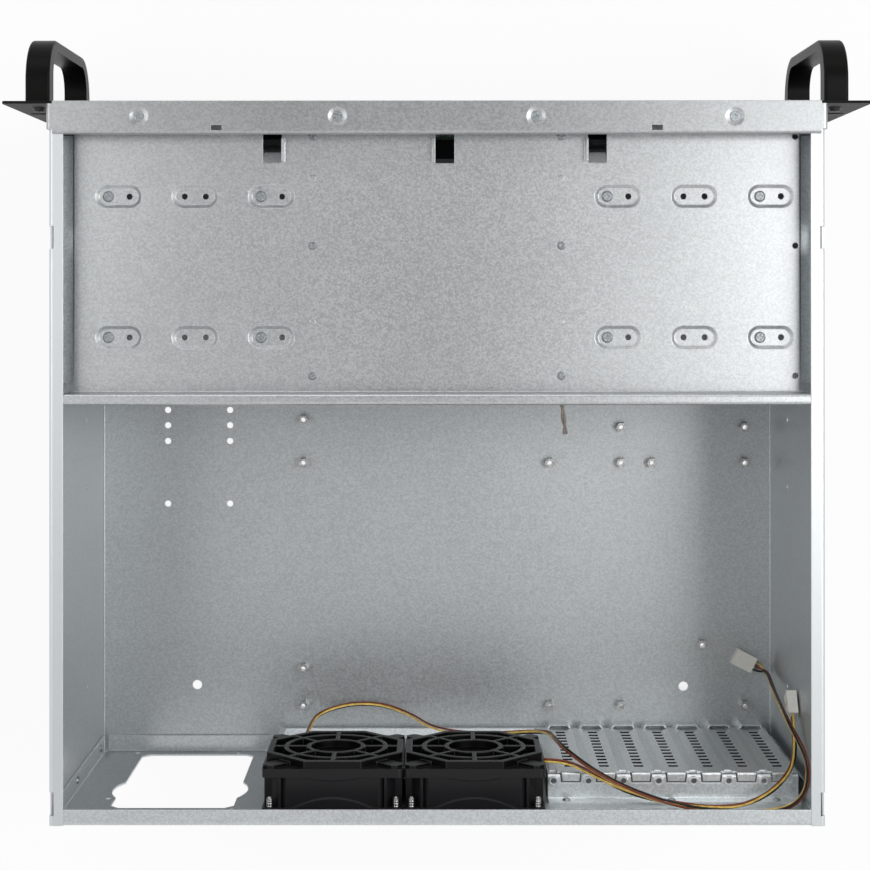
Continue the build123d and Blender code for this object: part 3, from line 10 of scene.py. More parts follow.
import bpy
import numpy as np
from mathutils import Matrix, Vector


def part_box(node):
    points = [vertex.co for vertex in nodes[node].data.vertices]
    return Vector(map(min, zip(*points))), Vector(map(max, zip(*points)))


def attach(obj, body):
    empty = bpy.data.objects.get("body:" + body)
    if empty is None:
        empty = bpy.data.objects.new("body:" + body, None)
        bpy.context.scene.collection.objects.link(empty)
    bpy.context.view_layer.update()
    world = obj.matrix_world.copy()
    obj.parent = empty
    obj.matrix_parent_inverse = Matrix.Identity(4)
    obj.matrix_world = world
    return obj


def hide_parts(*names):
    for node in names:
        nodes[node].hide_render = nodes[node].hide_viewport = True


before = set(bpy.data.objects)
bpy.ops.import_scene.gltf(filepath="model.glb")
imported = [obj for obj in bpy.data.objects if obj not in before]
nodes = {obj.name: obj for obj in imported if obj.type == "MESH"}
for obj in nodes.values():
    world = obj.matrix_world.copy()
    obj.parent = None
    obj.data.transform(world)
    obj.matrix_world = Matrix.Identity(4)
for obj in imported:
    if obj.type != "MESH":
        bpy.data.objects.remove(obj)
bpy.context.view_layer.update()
MM = 0.001
print("sheets and pieces:", len(nodes))

# %% [markdown]
# ## Two planes to measure from
#
# Every place in the case is easiest to give as a distance behind the front panel and a height above the
# floor that it stands on. Both planes are read from the model, so nothing has to be fitted by hand.

# %% Front plane and top plane
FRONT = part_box("front_panel")[1].y
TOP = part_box("front_top_strip")[1].z


def place(x, distance, height):
    """A point of the scene from X, the distance behind the front plane and the height in millimetres."""
    return (x * MM, FRONT + distance * MM, height * MM)


print("front plane", round(FRONT, 4), "top plane", round(TOP, 4))

# %% [markdown]
# ## The camera
#
# The photograph looks straight down with a long lens, and the front of the case is at the top of the
# picture. So the camera looks along -Z and is turned half a turn about Z. The lens axis meets the
# picture well above its middle, which a small vertical shift repeats.

# %% Camera
PICTURE = 870
FOCAL_PIXELS = 1990.9
AXIS_ROW = 284.3
SENSOR = 36.0
CAMERA_X = -1.0
CAMERA_BEHIND_FRONT = 102.8
CAMERA_ABOVE_TOP = 1101.1
CAMERA_TILT = (0.134, 0.105, 179.977)

camera_data = bpy.data.cameras.new("view_from_above")
camera_data.sensor_width = SENSOR
camera_data.lens = FOCAL_PIXELS * SENSOR / PICTURE
camera_data.shift_y = (AXIS_ROW - PICTURE / 2) / PICTURE
camera = bpy.data.objects.new("view_from_above", camera_data)
camera.location = place(CAMERA_X, CAMERA_BEHIND_FRONT, TOP / MM + CAMERA_ABOVE_TOP)
camera.rotation_euler = [math.radians(angle) for angle in CAMERA_TILT]
bpy.context.scene.collection.objects.link(camera)
bpy.context.scene.camera = camera
bpy.context.scene.view_settings.view_transform = "Standard"
print("lens", round(camera_data.lens, 2), "mm")

# %% [markdown]
# ## Shader maths as plain sums
#
# A finish is a graph of nodes, but it reads better as a formula. The class below holds one output
# socket and knows how to be added, multiplied and compared, so `0.4 + 0.1 * grain` builds the nodes.
# Colours go through their own mixing nodes, because a number node would turn them grey.


# %% A field: one number or colour that varies over a surface
class Field:
    """One output socket in a tree of nodes, with the arithmetic that the finishes use."""

    def __init__(self, owner, socket):
        self.owner = owner
        self.socket = socket

    def math(self, operation, first, second):
        return self.owner.node("Math", {"operation": operation}, {0: first, 1: second})

    def __add__(self, other):
        return self.math("ADD", self, other)

    def __radd__(self, other):
        return self.math("ADD", other, self)

    def __sub__(self, other):
        return self.math("SUBTRACT", self, other)

    def __rsub__(self, other):
        return self.math("SUBTRACT", other, self)

    def __mul__(self, other):
        return self.math("MULTIPLY", self, other)

    def __rmul__(self, other):
        return self.math("MULTIPLY", other, self)

    def sine(self):
        return self.math("SINE", self, 0.0)

    def largest(self, other):
        return self.math("MAXIMUM", self, other)

    def step(self, low, high):
        """0 below low, 1 above high, and a smooth rise between them."""
        settings = {"interpolation_type": "SMOOTHSTEP"}
        inputs = {"Value": self, "From Min": low, "From Max": high}
        return self.owner.node("MapRange", settings, inputs)

    def band(self, low, full, fading, high):
        """1 between full and fading, 0 outside low and high, and smooth between them."""
        return self.step(low, full) * (1.0 - self.step(fading, high))


# %% A tree of nodes, and the finish that is made with one
class Tree:
    """A tree of nodes with one method that makes any node in it."""

    def __init__(self, tree):
        self.tree = tree

    def node(self, kind, settings=None, inputs=None, outlet=0):
        """Makes a node, sets it up, fills or links its inputs and returns one of its outlets."""
        made = self.tree.nodes.new("ShaderNode" + kind)
        for name, value in (settings or {}).items():
            setattr(made, name, value)
        for name, value in (inputs or {}).items():
            if isinstance(value, Field):
                self.tree.links.new(value.socket, made.inputs[name])
            else:
                made.inputs[name].default_value = value
        return Field(self, made.outputs[outlet])


class Finish(Tree):
    """A material with its shader and its coordinates."""

    def __init__(self, name, **constants):
        self.material = bpy.data.materials.new(name)
        self.material.use_nodes = True
        super().__init__(self.material.node_tree)
        self.shader = self.tree.nodes["Principled BSDF"]
        for words, value in constants.items():
            self.shader.inputs[words.replace("_", " ")].default_value = value
        self.place = self.node("TexCoord", outlet="Object")

    def feed(self, name, field):
        """Links a field to one of the shader's sockets."""
        self.tree.links.new(field.socket, self.shader.inputs[name])

    def stretched(self, scale):
        """The object's coordinates, scaled by three numbers."""
        return self.node("Mapping", None, {"Vector": self.place, "Scale": scale})

    def noise(self, scale, detail=3.0, along=None, rough=0.5):
        """Soft noise: scale is in waves a metre, and along stretches it."""
        inputs = {"Vector": along or self.place, "Scale": scale, "Detail": detail, "Roughness": rough}
        return self.node("TexNoise", {"normalize": True}, inputs)

    def cells(self, scale):
        """A random number for each crystal, with scale in crystals a metre."""
        inputs = {"Vector": self.place, "Scale": scale}
        color = self.node("TexVoronoi", {"feature": "F1"}, inputs, "Color")
        return self.node("SeparateColor", None, {"Color": color}, "Red")

    def axis(self, letter):
        """One of the object's coordinates, in metres."""
        return self.node("SeparateXYZ", None, {"Vector": self.place}, letter)

    def mix(self, share, first, second):
        """A colour between two, by a share from 0 to 1."""
        pair = [value if isinstance(value, Field) else (*value, 1.0) for value in (first, second)]
        return self.node("Mix", {"data_type": "RGBA"}, {0: share, 6: pair[0], 7: pair[1]}, 2)

    def bump(self, height, strength, depth, under=None):
        """A normal that is tilted by a height field, on top of another normal if one is given."""
        inputs = {"Height": height, "Strength": strength, "Distance": depth}
        if under is not None:
            inputs["Normal"] = under
        return self.node("Bump", None, inputs)

    def soft_edge(self, radius):
        """The normal with its sharp edges rounded."""
        return self.node("Bevel", {"samples": 4}, {"Radius": radius}, "Normal")


# %% [markdown]
# ## Zinc-coated sheet
#
# Hot-dipped sheet is covered in a fine spangle: tiny zinc crystals that each reflect a little
# differently. It could be painted as an image, but a cell pattern with one random grey per cell gives
# the same look at any distance. Broad soft noise adds the cloudy handling marks, and noise that is
# stretched along one axis adds the faint lines of the rolling mill. Bends and cut edges catch the light,
# so their normals are rounded and a pale painted highlight lies along them. The top edges of a sheet
# can get a lighter painted highlight as well. Only the sills of the vents in the slot covers are the
# other way round: they lie in the dark, and they get painted shade.


# %% Zinc sheet
# How many crystals, and how many waves of the three soft patterns, fit in a metre
CRYSTALS = 1150.0
GRAIN = 2700.0
CLOUDS = 8.0
SMEARS = 40.0
# How much the coordinates are squeezed to draw the rolling lines along one axis
ALONG_Y = (1.0, 14.0, 1.0)
ALONG_X = (14.0, 1.0, 1.0)
BLUE_GRAY = (0.955, 1.0, 1.02)
PLAIN_GRAY = (0.97, 1.0, 1.015)
# Colour of the painted highlight along bends and cut edges
PAINTED_EDGE_HIGHLIGHT = (0.9, 0.92, 0.93)
# Colour of the painted shade on the sills of the vents
PAINTED_SILL_SHADE = (0.02, 0.02, 0.022)
BRIGHTEST = 0.96
VENT_HEIGHTS = (17 * MM, 20 * MM, 119 * MM, 122 * MM)


def edge_line(finish, radius):
    """1 along sharp edges and 0 on flats: how far the rounded normal leaves the true one."""
    rounded = finish.soft_edge(radius)
    true = finish.node("NewGeometry", outlet="Normal")
    agree = finish.node("VectorMath", {"operation": "DOT_PRODUCT"}, {0: rounded, 1: true}, "Value")
    return (1.0 - agree).step(0.02, 0.25), rounded


def shade_of(tone, tint):
    """A grey of this tone, tinted."""
    return tuple(min(tone * part, BRIGHTEST) for part in tint)


def zinc_sheet(name, tone, top_highlight=1.0, tint=BLUE_GRAY, roll=ALONG_Y, rough=0.37, shaded_sills=False):
    """Zinc of a tone; the top edges get a painted highlight by a factor, and the vent sills painted
    shade if asked for.
    """
    finish = Finish(name, Metallic=0.9, Specular_IOR_Level=0.5)
    crystals = finish.cells(CRYSTALS)
    grain = finish.noise(GRAIN, detail=2.0)
    clouds = finish.noise(CLOUDS)
    smears = finish.noise(SMEARS, detail=5.0, along=finish.stretched(roll), rough=0.6)
    edges, rounded = edge_line(finish, radius=0.7 * MM)
    value = (0.37 * crystals + 0.33 * grain + 0.22 * clouds + 0.08 * smears).step(0.25, 0.75)
    flat = finish.mix(value, shade_of(0.88 * tone, tint), shade_of(1.12 * tone, tint))
    # Painted highlight: the top edges of the sheet are painted lighter
    high = finish.axis("Z").step(TOP - 12 * MM, TOP - 2 * MM)
    with_top_highlight = finish.mix(high, flat, shade_of(top_highlight * tone, tint)) if top_highlight != 1.0 else flat
    # Painted highlight: bends and cut edges are painted paler
    color = finish.mix(0.7 * edges, with_top_highlight, PAINTED_EDGE_HIGHLIGHT)
    # Painted shade: the upward sills of the vents are painted dark
    if shaded_sills:
        vents = finish.axis("Z").band(*VENT_HEIGHTS)
        true = finish.node("NewGeometry", outlet="Normal")
        facing_up = finish.node("SeparateXYZ", None, {"Vector": true}, "Z").step(0.4, 0.7)
        color = finish.mix(facing_up * vents, color, PAINTED_SILL_SHADE)
    finish.feed("Base Color", color)
    finish.feed("Roughness", rough - 0.04 + 0.05 * crystals + 0.08 * clouds - 0.04 * smears)
    relief = 0.5 * crystals + 0.4 * grain + 0.12 * smears
    finish.feed("Normal", finish.bump(relief, strength=0.045, depth=0.2 * MM, under=rounded))
    return finish.material


# The pan's top flanges get a painted highlight
pan_zinc = zinc_sheet("zinc_of_the_pan", 0.53, top_highlight=1.24)
plate_zinc = zinc_sheet("zinc_of_the_bay_plate", 0.53, tint=PLAIN_GRAY, rough=0.34)
strip_zinc = zinc_sheet("zinc_of_the_front_strip", 0.44, tint=PLAIN_GRAY, rough=0.34)
rear_zinc = zinc_sheet("zinc_of_the_rear_sheets", 0.6, roll=ALONG_X)
# The slot covers get painted shade on their vent sills
cover_zinc = zinc_sheet("zinc_of_the_slot_covers", 0.88, rough=0.33, shaded_sills=True)
# The slot wall is a lit copy of the same zinc, painted lighter: a painted highlight
slot_zinc_painted_lighter = zinc_sheet("zinc_of_the_slot_wall_painted_lighter", 0.82, rough=0.36)
print("zinc finishes:", [m.name for m in bpy.data.materials if m.name.startswith("zinc")])

# %% [markdown]
# ## Black coat and mouldings
#
# The front panel has a fine powder coat, and the handles a smoother one. Moulded parts are a little
# greyer, with the sparkle of an eroded mould. The corner of a painted sheet shows a lighter line, partly
# bare metal and partly painted highlight, and the corners of mouldings carry a painted highlight.
# Corners are found by comparing the true normal with one that is rounded off.


# %% Black finishes
def powder_coat(name, color, rough, grain, wear_and_highlight):
    """Black paint with an orange-peel surface and lighter sheet edges, partly worn and partly painted
    highlight.
    """
    finish = Finish(name, Specular_IOR_Level=0.1)
    peel = finish.noise(2600.0, detail=2.0)
    clouds = finish.noise(30.0)
    edges, rounded = edge_line(finish, radius=0.6 * MM)
    # Lighter sheet edges: partly wear, partly a painted highlight
    worn = tuple(part + wear_and_highlight for part in color)
    dusty = finish.mix(clouds.step(0.4, 0.75), color, tuple(1.25 * part for part in color))
    finish.feed("Base Color", finish.mix(edges, dusty, worn))
    finish.feed("Roughness", rough + 0.1 * clouds + 0.06 * peel)
    finish.feed("Normal", finish.bump(peel, strength=grain, depth=0.3 * MM, under=rounded))
    return finish.material


def moulded(name, color, rough, grain=0.15, shine=0.3, edge_highlight=0.0, corner=0.4 * MM):
    """Moulded plastic with a fine eroded grain and soft edges, which carry a pale painted highlight."""
    finish = Finish(name, Specular_IOR_Level=shine)
    pits = finish.noise(3800.0, detail=2.0)
    clouds = finish.noise(40.0)
    edges, rounded = edge_line(finish, corner)
    dusty = finish.mix(clouds, tuple(0.85 * part for part in color), color)
    # Painted highlight: the edges are painted paler
    finish.feed("Base Color", finish.mix(edges, dusty, tuple(part + edge_highlight for part in color)))
    finish.feed("Roughness", rough + 0.08 * clouds + 0.06 * pits)
    finish.feed("Normal", finish.bump(pits, strength=grain, depth=0.2 * MM, under=rounded))
    return finish.material


PANEL_COLOR = (0.006, 0.0056, 0.0054)
HANDLE_COLOR = (0.003, 0.0026, 0.0024)
COVER_COLOR = (0.014, 0.014, 0.015)
FAN_COLOR = (0.0085, 0.0075, 0.009)
GUARD_COLOR = (0.003, 0.0028, 0.0028)
panel_black = powder_coat("black_panel_coat", PANEL_COLOR, rough=0.42, grain=0.35, wear_and_highlight=0.02)
handle_black = powder_coat("black_handle_coat", HANDLE_COLOR, rough=0.3, grain=0.12, wear_and_highlight=0.012)
cover_black = moulded("bay_cover_plastic", COVER_COLOR, rough=0.42, grain=0.3)
# Fan and guard edges get a painted highlight
fan_black = moulded("fan_plastic", FAN_COLOR, rough=0.3, grain=0.06, edge_highlight=0.02)
guard_black = moulded(
    "guard_plastic", GUARD_COLOR, rough=0.24, grain=0.04, shine=0.2, edge_highlight=0.1, corner=0.9 * MM
)
housing_black = moulded("housing_plastic", (0.009, 0.009, 0.01), rough=0.4)
button_black = moulded("button_plastic", (0.03, 0.03, 0.032), rough=0.34)
print("black finishes:", [m.name for m in (panel_black, handle_black, cover_black, fan_black)])

# %% [markdown]
# ## Small metal, the board, nylon and the light pipes
#
# Screws and rivets are bright zinc with small dull patches, apart from the blackened screws of the
# handles. The long screws of the fans show their thread, which is a sine along the screw. The board has
# a green mask over faint copper lines. The plugs are natural nylon: milky and slightly uneven. The light
# pipes are clear rods, a little frosted.


# %% Small finishes
def bright_metal(name, color, rough, thread=0.0):
    """Plated metal with small dull patches, and a thread's ridges across Y if one is asked for."""
    finish = Finish(name, Metallic=1.0)
    dull = finish.noise(900.0, detail=4.0)
    worn = tuple(0.6 * part for part in color)
    finish.feed("Base Color", finish.mix(dull.step(0.35, 0.7), worn, color))
    finish.feed("Roughness", rough + 0.22 * dull)
    relief = finish.noise(2400.0, detail=2.0)
    strength = 0.12
    if thread:
        relief = relief + 2.0 * (finish.axis("Y") * (2 * math.pi / thread)).sine()
        strength = 0.5
    rounded = finish.soft_edge(0.3 * MM)
    finish.feed("Normal", finish.bump(relief, strength, depth=0.1 * MM, under=rounded))
    return finish.material


def board_mask(name):
    """Green solder mask over copper tracks that run along one axis."""
    finish = Finish(name, Coat_Roughness=0.15)
    across = finish.stretched((1.0, 1.0, 0.15))
    tracks = finish.noise(900.0, detail=1.0, along=across).step(0.52, 0.56)
    green = finish.mix(tracks, (0.008, 0.055, 0.018), (0.014, 0.09, 0.03))
    finish.feed("Base Color", green)
    finish.feed("Roughness", 0.38 + 0.1 * tracks)
    finish.feed("Coat Weight", 0.5 + 0.2 * finish.noise(80.0))
    finish.feed("Normal", finish.bump(tracks, strength=0.3, depth=0.1 * MM))
    return finish.material


def nylon(name, color):
    """Milky plastic with faint flow marks."""
    finish = Finish(name, Specular_IOR_Level=0.45)
    flow = finish.noise(240.0, detail=4.0, along=finish.stretched((1.0, 3.0, 1.0)))
    finish.feed("Base Color", finish.mix(flow, tuple(0.8 * part for part in color), color))
    finish.feed("Roughness", 0.4 + 0.12 * flow)
    finish.feed("Normal", finish.bump(flow, strength=0.1, depth=0.2 * MM))
    return finish.material


def clear_rod(name):
    """Clear acrylic whose ends are lightly frosted."""
    finish = Finish(name, Transmission_Weight=0.85, IOR=1.49)
    frost = finish.noise(1800.0)
    finish.feed("Base Color", finish.mix(frost, (0.82, 0.86, 0.88), (0.95, 0.97, 0.98)))
    finish.feed("Roughness", 0.12 + 0.2 * frost)
    finish.feed("Normal", finish.bump(frost, strength=0.1, depth=0.1 * MM))
    return finish.material


zinc_bright = bright_metal("bright_screws", (0.46, 0.49, 0.51), rough=0.3)
post_zinc = bright_metal("bright_posts", (0.62, 0.63, 0.62), rough=0.24)
fan_zinc = bright_metal("threaded_screws", (0.6, 0.61, 0.6), rough=0.24, thread=1.4 * MM)
screw_dark = bright_metal("blackened_screws", (0.06, 0.06, 0.062), rough=0.3)
shell_tin = bright_metal("tinned_shells", (0.7, 0.71, 0.72), rough=0.16)
mask_green = board_mask("green_mask")
plug_nylon = nylon("plug_nylon", (0.93, 0.92, 0.86))
pipe_clear = clear_rod("clear_pipes")
print("finishes so far:", len(bpy.data.materials))

# %% [markdown]
# ## One finish for every piece
#
# The table below names the pieces that share a finish. Pieces that come in numbered sets, such as the
# slot covers, are found by the start of their name.

# %% Give each piece its finish
FINISHES = {
    "chassis_pan": pan_zinc,
    "front_frame": rear_zinc,
    "front_top_strip": strip_zinc,
    "bay_top_plate": plate_zinc,
    "drive_cage": pan_zinc,
    "rear_panel": rear_zinc,
    "slot_frame": slot_zinc_painted_lighter,
    "slot_cover": cover_zinc,
    "front_panel": panel_black,
    "handle_right": handle_black,
    "handle_left": handle_black,
    "handle_screws": screw_dark,
    "bay_cover": cover_black,
    "fan_frame": fan_black,
    "fan_rotor": fan_black,
    "fan_guard": guard_black,
    "fan_screws": fan_zinc,
    "strip_screws": zinc_bright,
    "bay_screws": zinc_bright,
    "plate_screws": zinc_bright,
    "board_posts": post_zinc,
    "standoffs": post_zinc,
    "rivets": zinc_bright,
    "front_board": mask_green,
    "board_housing": housing_black,
    "board_switches": housing_black,
    "usb_shells": shell_tin,
    "usb_tongues": housing_black,
    "light_pipes": pipe_clear,
    "power_button": button_black,
    "reset_button": button_black,
    "connector": plug_nylon,
}


def give(piece, material):
    """Makes a material the only one of a piece."""
    piece.data.materials.clear()
    piece.data.materials.append(material)


for start, material in FINISHES.items():
    for name, piece in nodes.items():
        if name.startswith(start):
            give(piece, material)

plain = [name for name, piece in nodes.items() if piece.data.materials[0] not in FINISHES.values()]
print("pieces that the leads below take over:", plain)

# %% [markdown]
# ## The cages' side flanges
#
# A narrow gap runs along both sides of the bay plate. A folded flange closes it a little way down: it
# starts on the outer wall of the drive cage and reaches the side of the case. It is a thin folded sheet,
# so its section is given as a few corners, and the faces join each corner of one end to the other end.


# %% Side flanges of the cages
def add_piece(name, points, faces, materials):
    """Makes one piece of the case from its points and faces."""
    mesh = bpy.data.meshes.new(name)
    mesh.from_pydata(points.tolist(), [], faces)
    for material in materials:
        mesh.materials.append(material)
    piece = bpy.data.objects.new(name, mesh)
    bpy.context.scene.collection.objects.link(piece)
    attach(piece, "case")
    return piece


def folded_strip(name, corners, start, end, material):
    """A sheet that keeps one closed section of (X, height) corners from start to end."""
    count = len(corners)
    rows = [np.array([place(x, at, height) for x, height in corners]) for at in (start, end)]
    index = np.arange(count)
    after = np.roll(index, -1)
    sides = np.stack([index, after, after + count, index + count], axis=-1).tolist()
    ends = [index[::-1].tolist(), (index + count).tolist()]
    add_piece(name, np.concatenate(rows), sides + ends, [material])


SHEET = 1.2
WALL_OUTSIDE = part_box("drive_cage_right")[1].x / MM
FLANGE_REACH = 213.2
FLANGE_LOW, FLANGE_HIGH = 141.0, 152.0
FLANGE_START, FLANGE_END = 16.0, 156.0
for name, side in (("cage_flange_right", 1), ("cage_flange_left", -1)):
    section = [(WALL_OUTSIDE - SHEET, FLANGE_LOW), (WALL_OUTSIDE, FLANGE_LOW)]
    section += [(WALL_OUTSIDE, FLANGE_HIGH - SHEET), (FLANGE_REACH, FLANGE_HIGH - SHEET)]
    section += [(FLANGE_REACH, FLANGE_HIGH), (WALL_OUTSIDE - SHEET, FLANGE_HIGH)]
    corners = [(side * x, height) for x, height in section][::side]
    folded_strip(name, corners, FLANGE_START, FLANGE_END, rear_zinc)
print("cage wall ends", round(WALL_OUTSIDE, 2), "mm from the middle")

# %% [markdown]
# ## The fan leads
#
# Each fan has one thin lead of three insulated wires that ends in a white plug. The route is a short
# list of points, and a smooth spline runs near them. The three wires wind slowly round that spline and
# fan out where they enter the plug. A single round tube would be simpler, but loose wires of three
# colours are what the eye expects here.

# %% Routes of the leads
FAN_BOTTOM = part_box("fan_frame_1")[0].z / MM
FAN_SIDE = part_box("fan_frame_2")[0].x / MM
LEAD_1_POINTS = (
    (79.5, 375.5, FAN_BOTTOM),
    (79.5, 375.5, 34.0),
    (75.5, 372.6, 11.0),
    (57.0, 368.2, 3.2),
    (35.0, 368.4, 3.4),
    (16.5, 373.6, 12.5),
    (4.5, 377.2, 32.0),
    (-13.0, 377.8, 45.6),
    (-37.0, 377.8, 46.8),
    (-58.5, 376.4, 45.5),
    (-69.0, 372.8, 65.0),
    (-69.6, 369.6, 94.0),
    (-73.8, 369.8, 121.0),
    (-91.0, 379.5, 139.0),
    (-115.0, 390.5, 143.0),
    (-139.0, 395.6, 153.5),
    (-161.0, 396.6, 159.4),
    (-181.0, 396.4, 160.8),
    (-197.0, 394.6, 160.0),
    (-206.5, 387.4, 158.0),
    (-209.3, 377.0, 155.0),
    (-208.6, 367.5, 150.5),
    (-206.0, 360.5, 139.0),
    (-204.5, 356.3, 123.0),
    (-203.8, 351.6, 104.0),
    (-205.0, 350.2, 81.0),
    (-206.2, 348.6, 58.0),
    (-207.2, 346.6, 38.0),
    (-208.6, 346.4, 23.0),
    (-209.0, 346.6, 11.8),
    (-207.1, 346.0, 4.1),
    (-202.2, 343.5, 4.1),
)
LEAD_2_POINTS = (
    (FAN_SIDE, 376.3, 122.0),
    (-73.5, 376.3, 122.0),
    (-89.0, 382.0, 131.0),
    (-108.0, 391.0, 134.0),
    (-129.0, 395.6, 142.0),
    (-151.0, 396.5, 149.5),
    (-172.0, 396.2, 149.0),
    (-188.5, 392.0, 140.5),
    (-201.3, 382.7, 133.5),
    (-207.3, 375.0, 121.5),
    (-209.8, 366.5, 109.5),
    (-209.8, 355.0, 101.5),
)


def spline_line(name, points):
    """The points of the smooth spline that has a lead's route as its control points."""
    curve = bpy.data.curves.new(name, "CURVE")
    curve.dimensions = "3D"
    spline = curve.splines.new("NURBS")
    spline.points.add(len(points) - 1)
    for knot, point in zip(spline.points, points):
        knot.co = (*place(*point), 1.0)
    spline.order_u = 3
    spline.use_endpoint_u = True
    spline.resolution_u = 10
    holder = bpy.data.objects.new(name, curve)
    mesh = bpy.data.meshes.new_from_object(holder)
    line = np.empty(len(mesh.vertices) * 3)
    mesh.vertices.foreach_get("co", line)
    bpy.data.objects.remove(holder)
    bpy.data.meshes.remove(mesh)
    return line.reshape(-1, 3)


print("points in the routes:", len(LEAD_1_POINTS), "and", len(LEAD_2_POINTS))

# %% [markdown]
# A tube needs two directions across its line at every point. They come from one fixed direction that
# no stretch of these routes runs along: its part across the line is the first, and the cross product
# with the line is the second. Everything is worked out as whole arrays.
#
# Each wire keeps to its own third of a turn round the line. Which wire lies on the side of the camera is
# listed for a few places along a lead, and a sine makes the twist uneven. A second one, later for each
# wire, lets the wires stand off the line in places. Over the last stretch they leave the twist and lie
# side by side, as wide apart as the holes of the plug.

# %% Wires along a line
ASIDE = np.array([1.0, 1.0, -1.0]) / math.sqrt(3.0)
WIRE_RADIUS = 0.62 * MM
WIRE_SIDES = 10
WIRE_OUT = 0.72 * MM
TWIST_SWAY, TWIST_RATE = 0.14, 31.0
WIRE_LOOSE, LOOSE_RATE, LOOSE_SHIFT = 0.4 * MM, 23.0, 2.1
LOOSE_AFTER = 14 * MM
FAN_OUT_FROM = 12 * MM
FAN_OUT_OVER = 11 * MM
PLUG_PITCH = 2.5 * MM


def unit(vectors):
    """Each row scaled to length 1."""
    return vectors / np.linalg.norm(vectors, axis=-1, keepdims=True)


def directions(line):
    """The direction along a line and two directions across it, at each of its points."""
    along = unit(np.gradient(line, axis=0))
    first = unit(ASIDE - along * (along @ ASIDE)[:, None])
    return along, first, np.cross(along, first)


def distance_along(line):
    """How far each point of a line is from its start, measured along it."""
    steps = np.linalg.norm(np.diff(line, axis=0), axis=1)
    return np.concatenate([[0.0], np.cumsum(steps)])


def tube(line, radius, sides):
    """Rings round a line: centre + radius * (cos a * first + sin a * second), closed at both ends."""
    _, first, second = directions(line)
    angle = np.linspace(0.0, 2 * math.pi, sides, endpoint=False)
    ring = np.cos(angle)[None, :, None] * first[:, None] + np.sin(angle)[None, :, None] * second[:, None]
    rings = (line[:, None] + radius * ring).reshape(-1, 3)
    index = np.arange(len(line) * sides).reshape(-1, sides)
    near, far = index[:-1], index[1:]
    corners = [near, np.roll(near, -1, 1), np.roll(far, -1, 1), far]
    quads = np.stack(corners, axis=-1).reshape(-1, 4).tolist()
    return rings, quads + [index[0][::-1].tolist(), index[-1].tolist()]


def wire_lines(line, spread_way, turns, seed):
    """Three lines round one; turns lists (share of the way, thirds of a turn from the camera's side)."""
    _, first, second = directions(line)
    run = distance_along(line)
    share = run / run[-1]
    to_camera = unit(np.array(camera.location) - line)
    facing = np.unwrap(np.arctan2((to_camera * second).sum(1), (to_camera * first).sum(1)))
    third = np.interp(share, *zip(*turns)) + TWIST_SWAY * np.sin(TWIST_RATE * share + seed)
    end = np.clip((run - run[-1] + FAN_OUT_FROM) / FAN_OUT_OVER, 0, 1)[:, None]
    end = end * end * (3 - 2 * end)
    start = np.clip(run / LOOSE_AFTER, 0, 1)
    lines = []
    for i in range(3):
        phase = facing + 2 * math.pi * (i - 2 + third) / 3
        wave = np.sin(LOOSE_RATE * share + LOOSE_SHIFT * i + seed)
        out = WIRE_OUT + WIRE_LOOSE * start * (0.5 + 0.5 * wave)
        wound = out[:, None] * (np.cos(phase)[:, None] * first + np.sin(phase)[:, None] * second)
        beside = spread_way * (i - 1) * PLUG_PITCH
        lines.append(line + wound * (1 - end) + beside * end)
    return lines


# %% [markdown]
# ## Insulation
#
# The wires are thin, glossy and a little uneven in colour. One finish per colour is enough: a soft
# noise darkens it in places and roughens the gloss.


# %% Insulation finishes
def insulation(name, color):
    """Coloured vinyl with faint dirt."""
    finish = Finish(name, Specular_IOR_Level=0.5)
    dirt = finish.noise(260.0, detail=4.0)
    dirty = tuple(0.6 * part for part in color)
    finish.feed("Base Color", finish.mix(dirt.step(0.35, 0.75), color, dirty))
    finish.feed("Roughness", 0.3 + 0.2 * dirt)
    ripple = finish.noise(1400.0, detail=2.0)
    finish.feed("Normal", finish.bump(ripple, strength=0.1, depth=0.1 * MM))
    return finish.material


YELLOW = insulation("yellow_wire", (0.95, 0.66, 0.15))
BLACK = insulation("black_wire", (0.007, 0.006, 0.006))
RED = insulation("red_wire", (0.24, 0.05, 0.022))
LEAD_1_TURNS = ((0.0, 0.2), (0.36, 0.1), (0.44, 1.2), (0.6, 1.2), (0.68, 1.9), (1.0, 2.0))
LEAD_2_TURNS = ((0.0, 0.5), (0.3, 0.1), (1.0, 0.0))


def make_lead(name, node, points, plug_way, turns, seed):
    """One lead: three wires in one mesh, laid in its node's place."""
    line = spline_line(name, points)
    vertices, faces, owners = [], [], []
    for i, wire in enumerate(wire_lines(line, np.array(plug_way), turns, seed)):
        ring_points, quads = tube(wire, WIRE_RADIUS, WIRE_SIDES)
        offset = sum(len(part) for part in vertices)
        vertices.append(ring_points)
        faces += [[corner + offset for corner in quad] for quad in quads]
        owners += [i] * len(quads)
    colors = (BLACK, RED, YELLOW)
    piece = add_piece(name, np.concatenate(vertices), faces, colors)
    piece.data.polygons.foreach_set("material_index", owners)
    piece.data.shade_smooth()
    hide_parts(node)
    place(*points[0])
    print(name, "is", round(distance_along(line)[-1] / MM, 1), "mm long")


def across_end(points, level):
    """The direction along a plug's wide side: across the end of a route, and level or upright."""
    before, last = [np.array(place(*point)) for point in points[-2:]]
    along = unit(last - before)
    return np.cross(along, level)


UP = np.array([0.0, 0.0, 1.0])
SIDEWAYS = np.array([1.0, 0.0, 0.0])
make_lead(
    "lead_of_fan_1",
    node="fan_lead_1",
    points=LEAD_1_POINTS,
    plug_way=across_end(LEAD_1_POINTS, UP),
    turns=LEAD_1_TURNS,
    seed=0.4,
)
make_lead(
    "lead_of_fan_2",
    node="fan_lead_2",
    points=LEAD_2_POINTS,
    plug_way=across_end(LEAD_2_POINTS, SIDEWAYS),
    turns=LEAD_2_TURNS,
    seed=2.2,
)

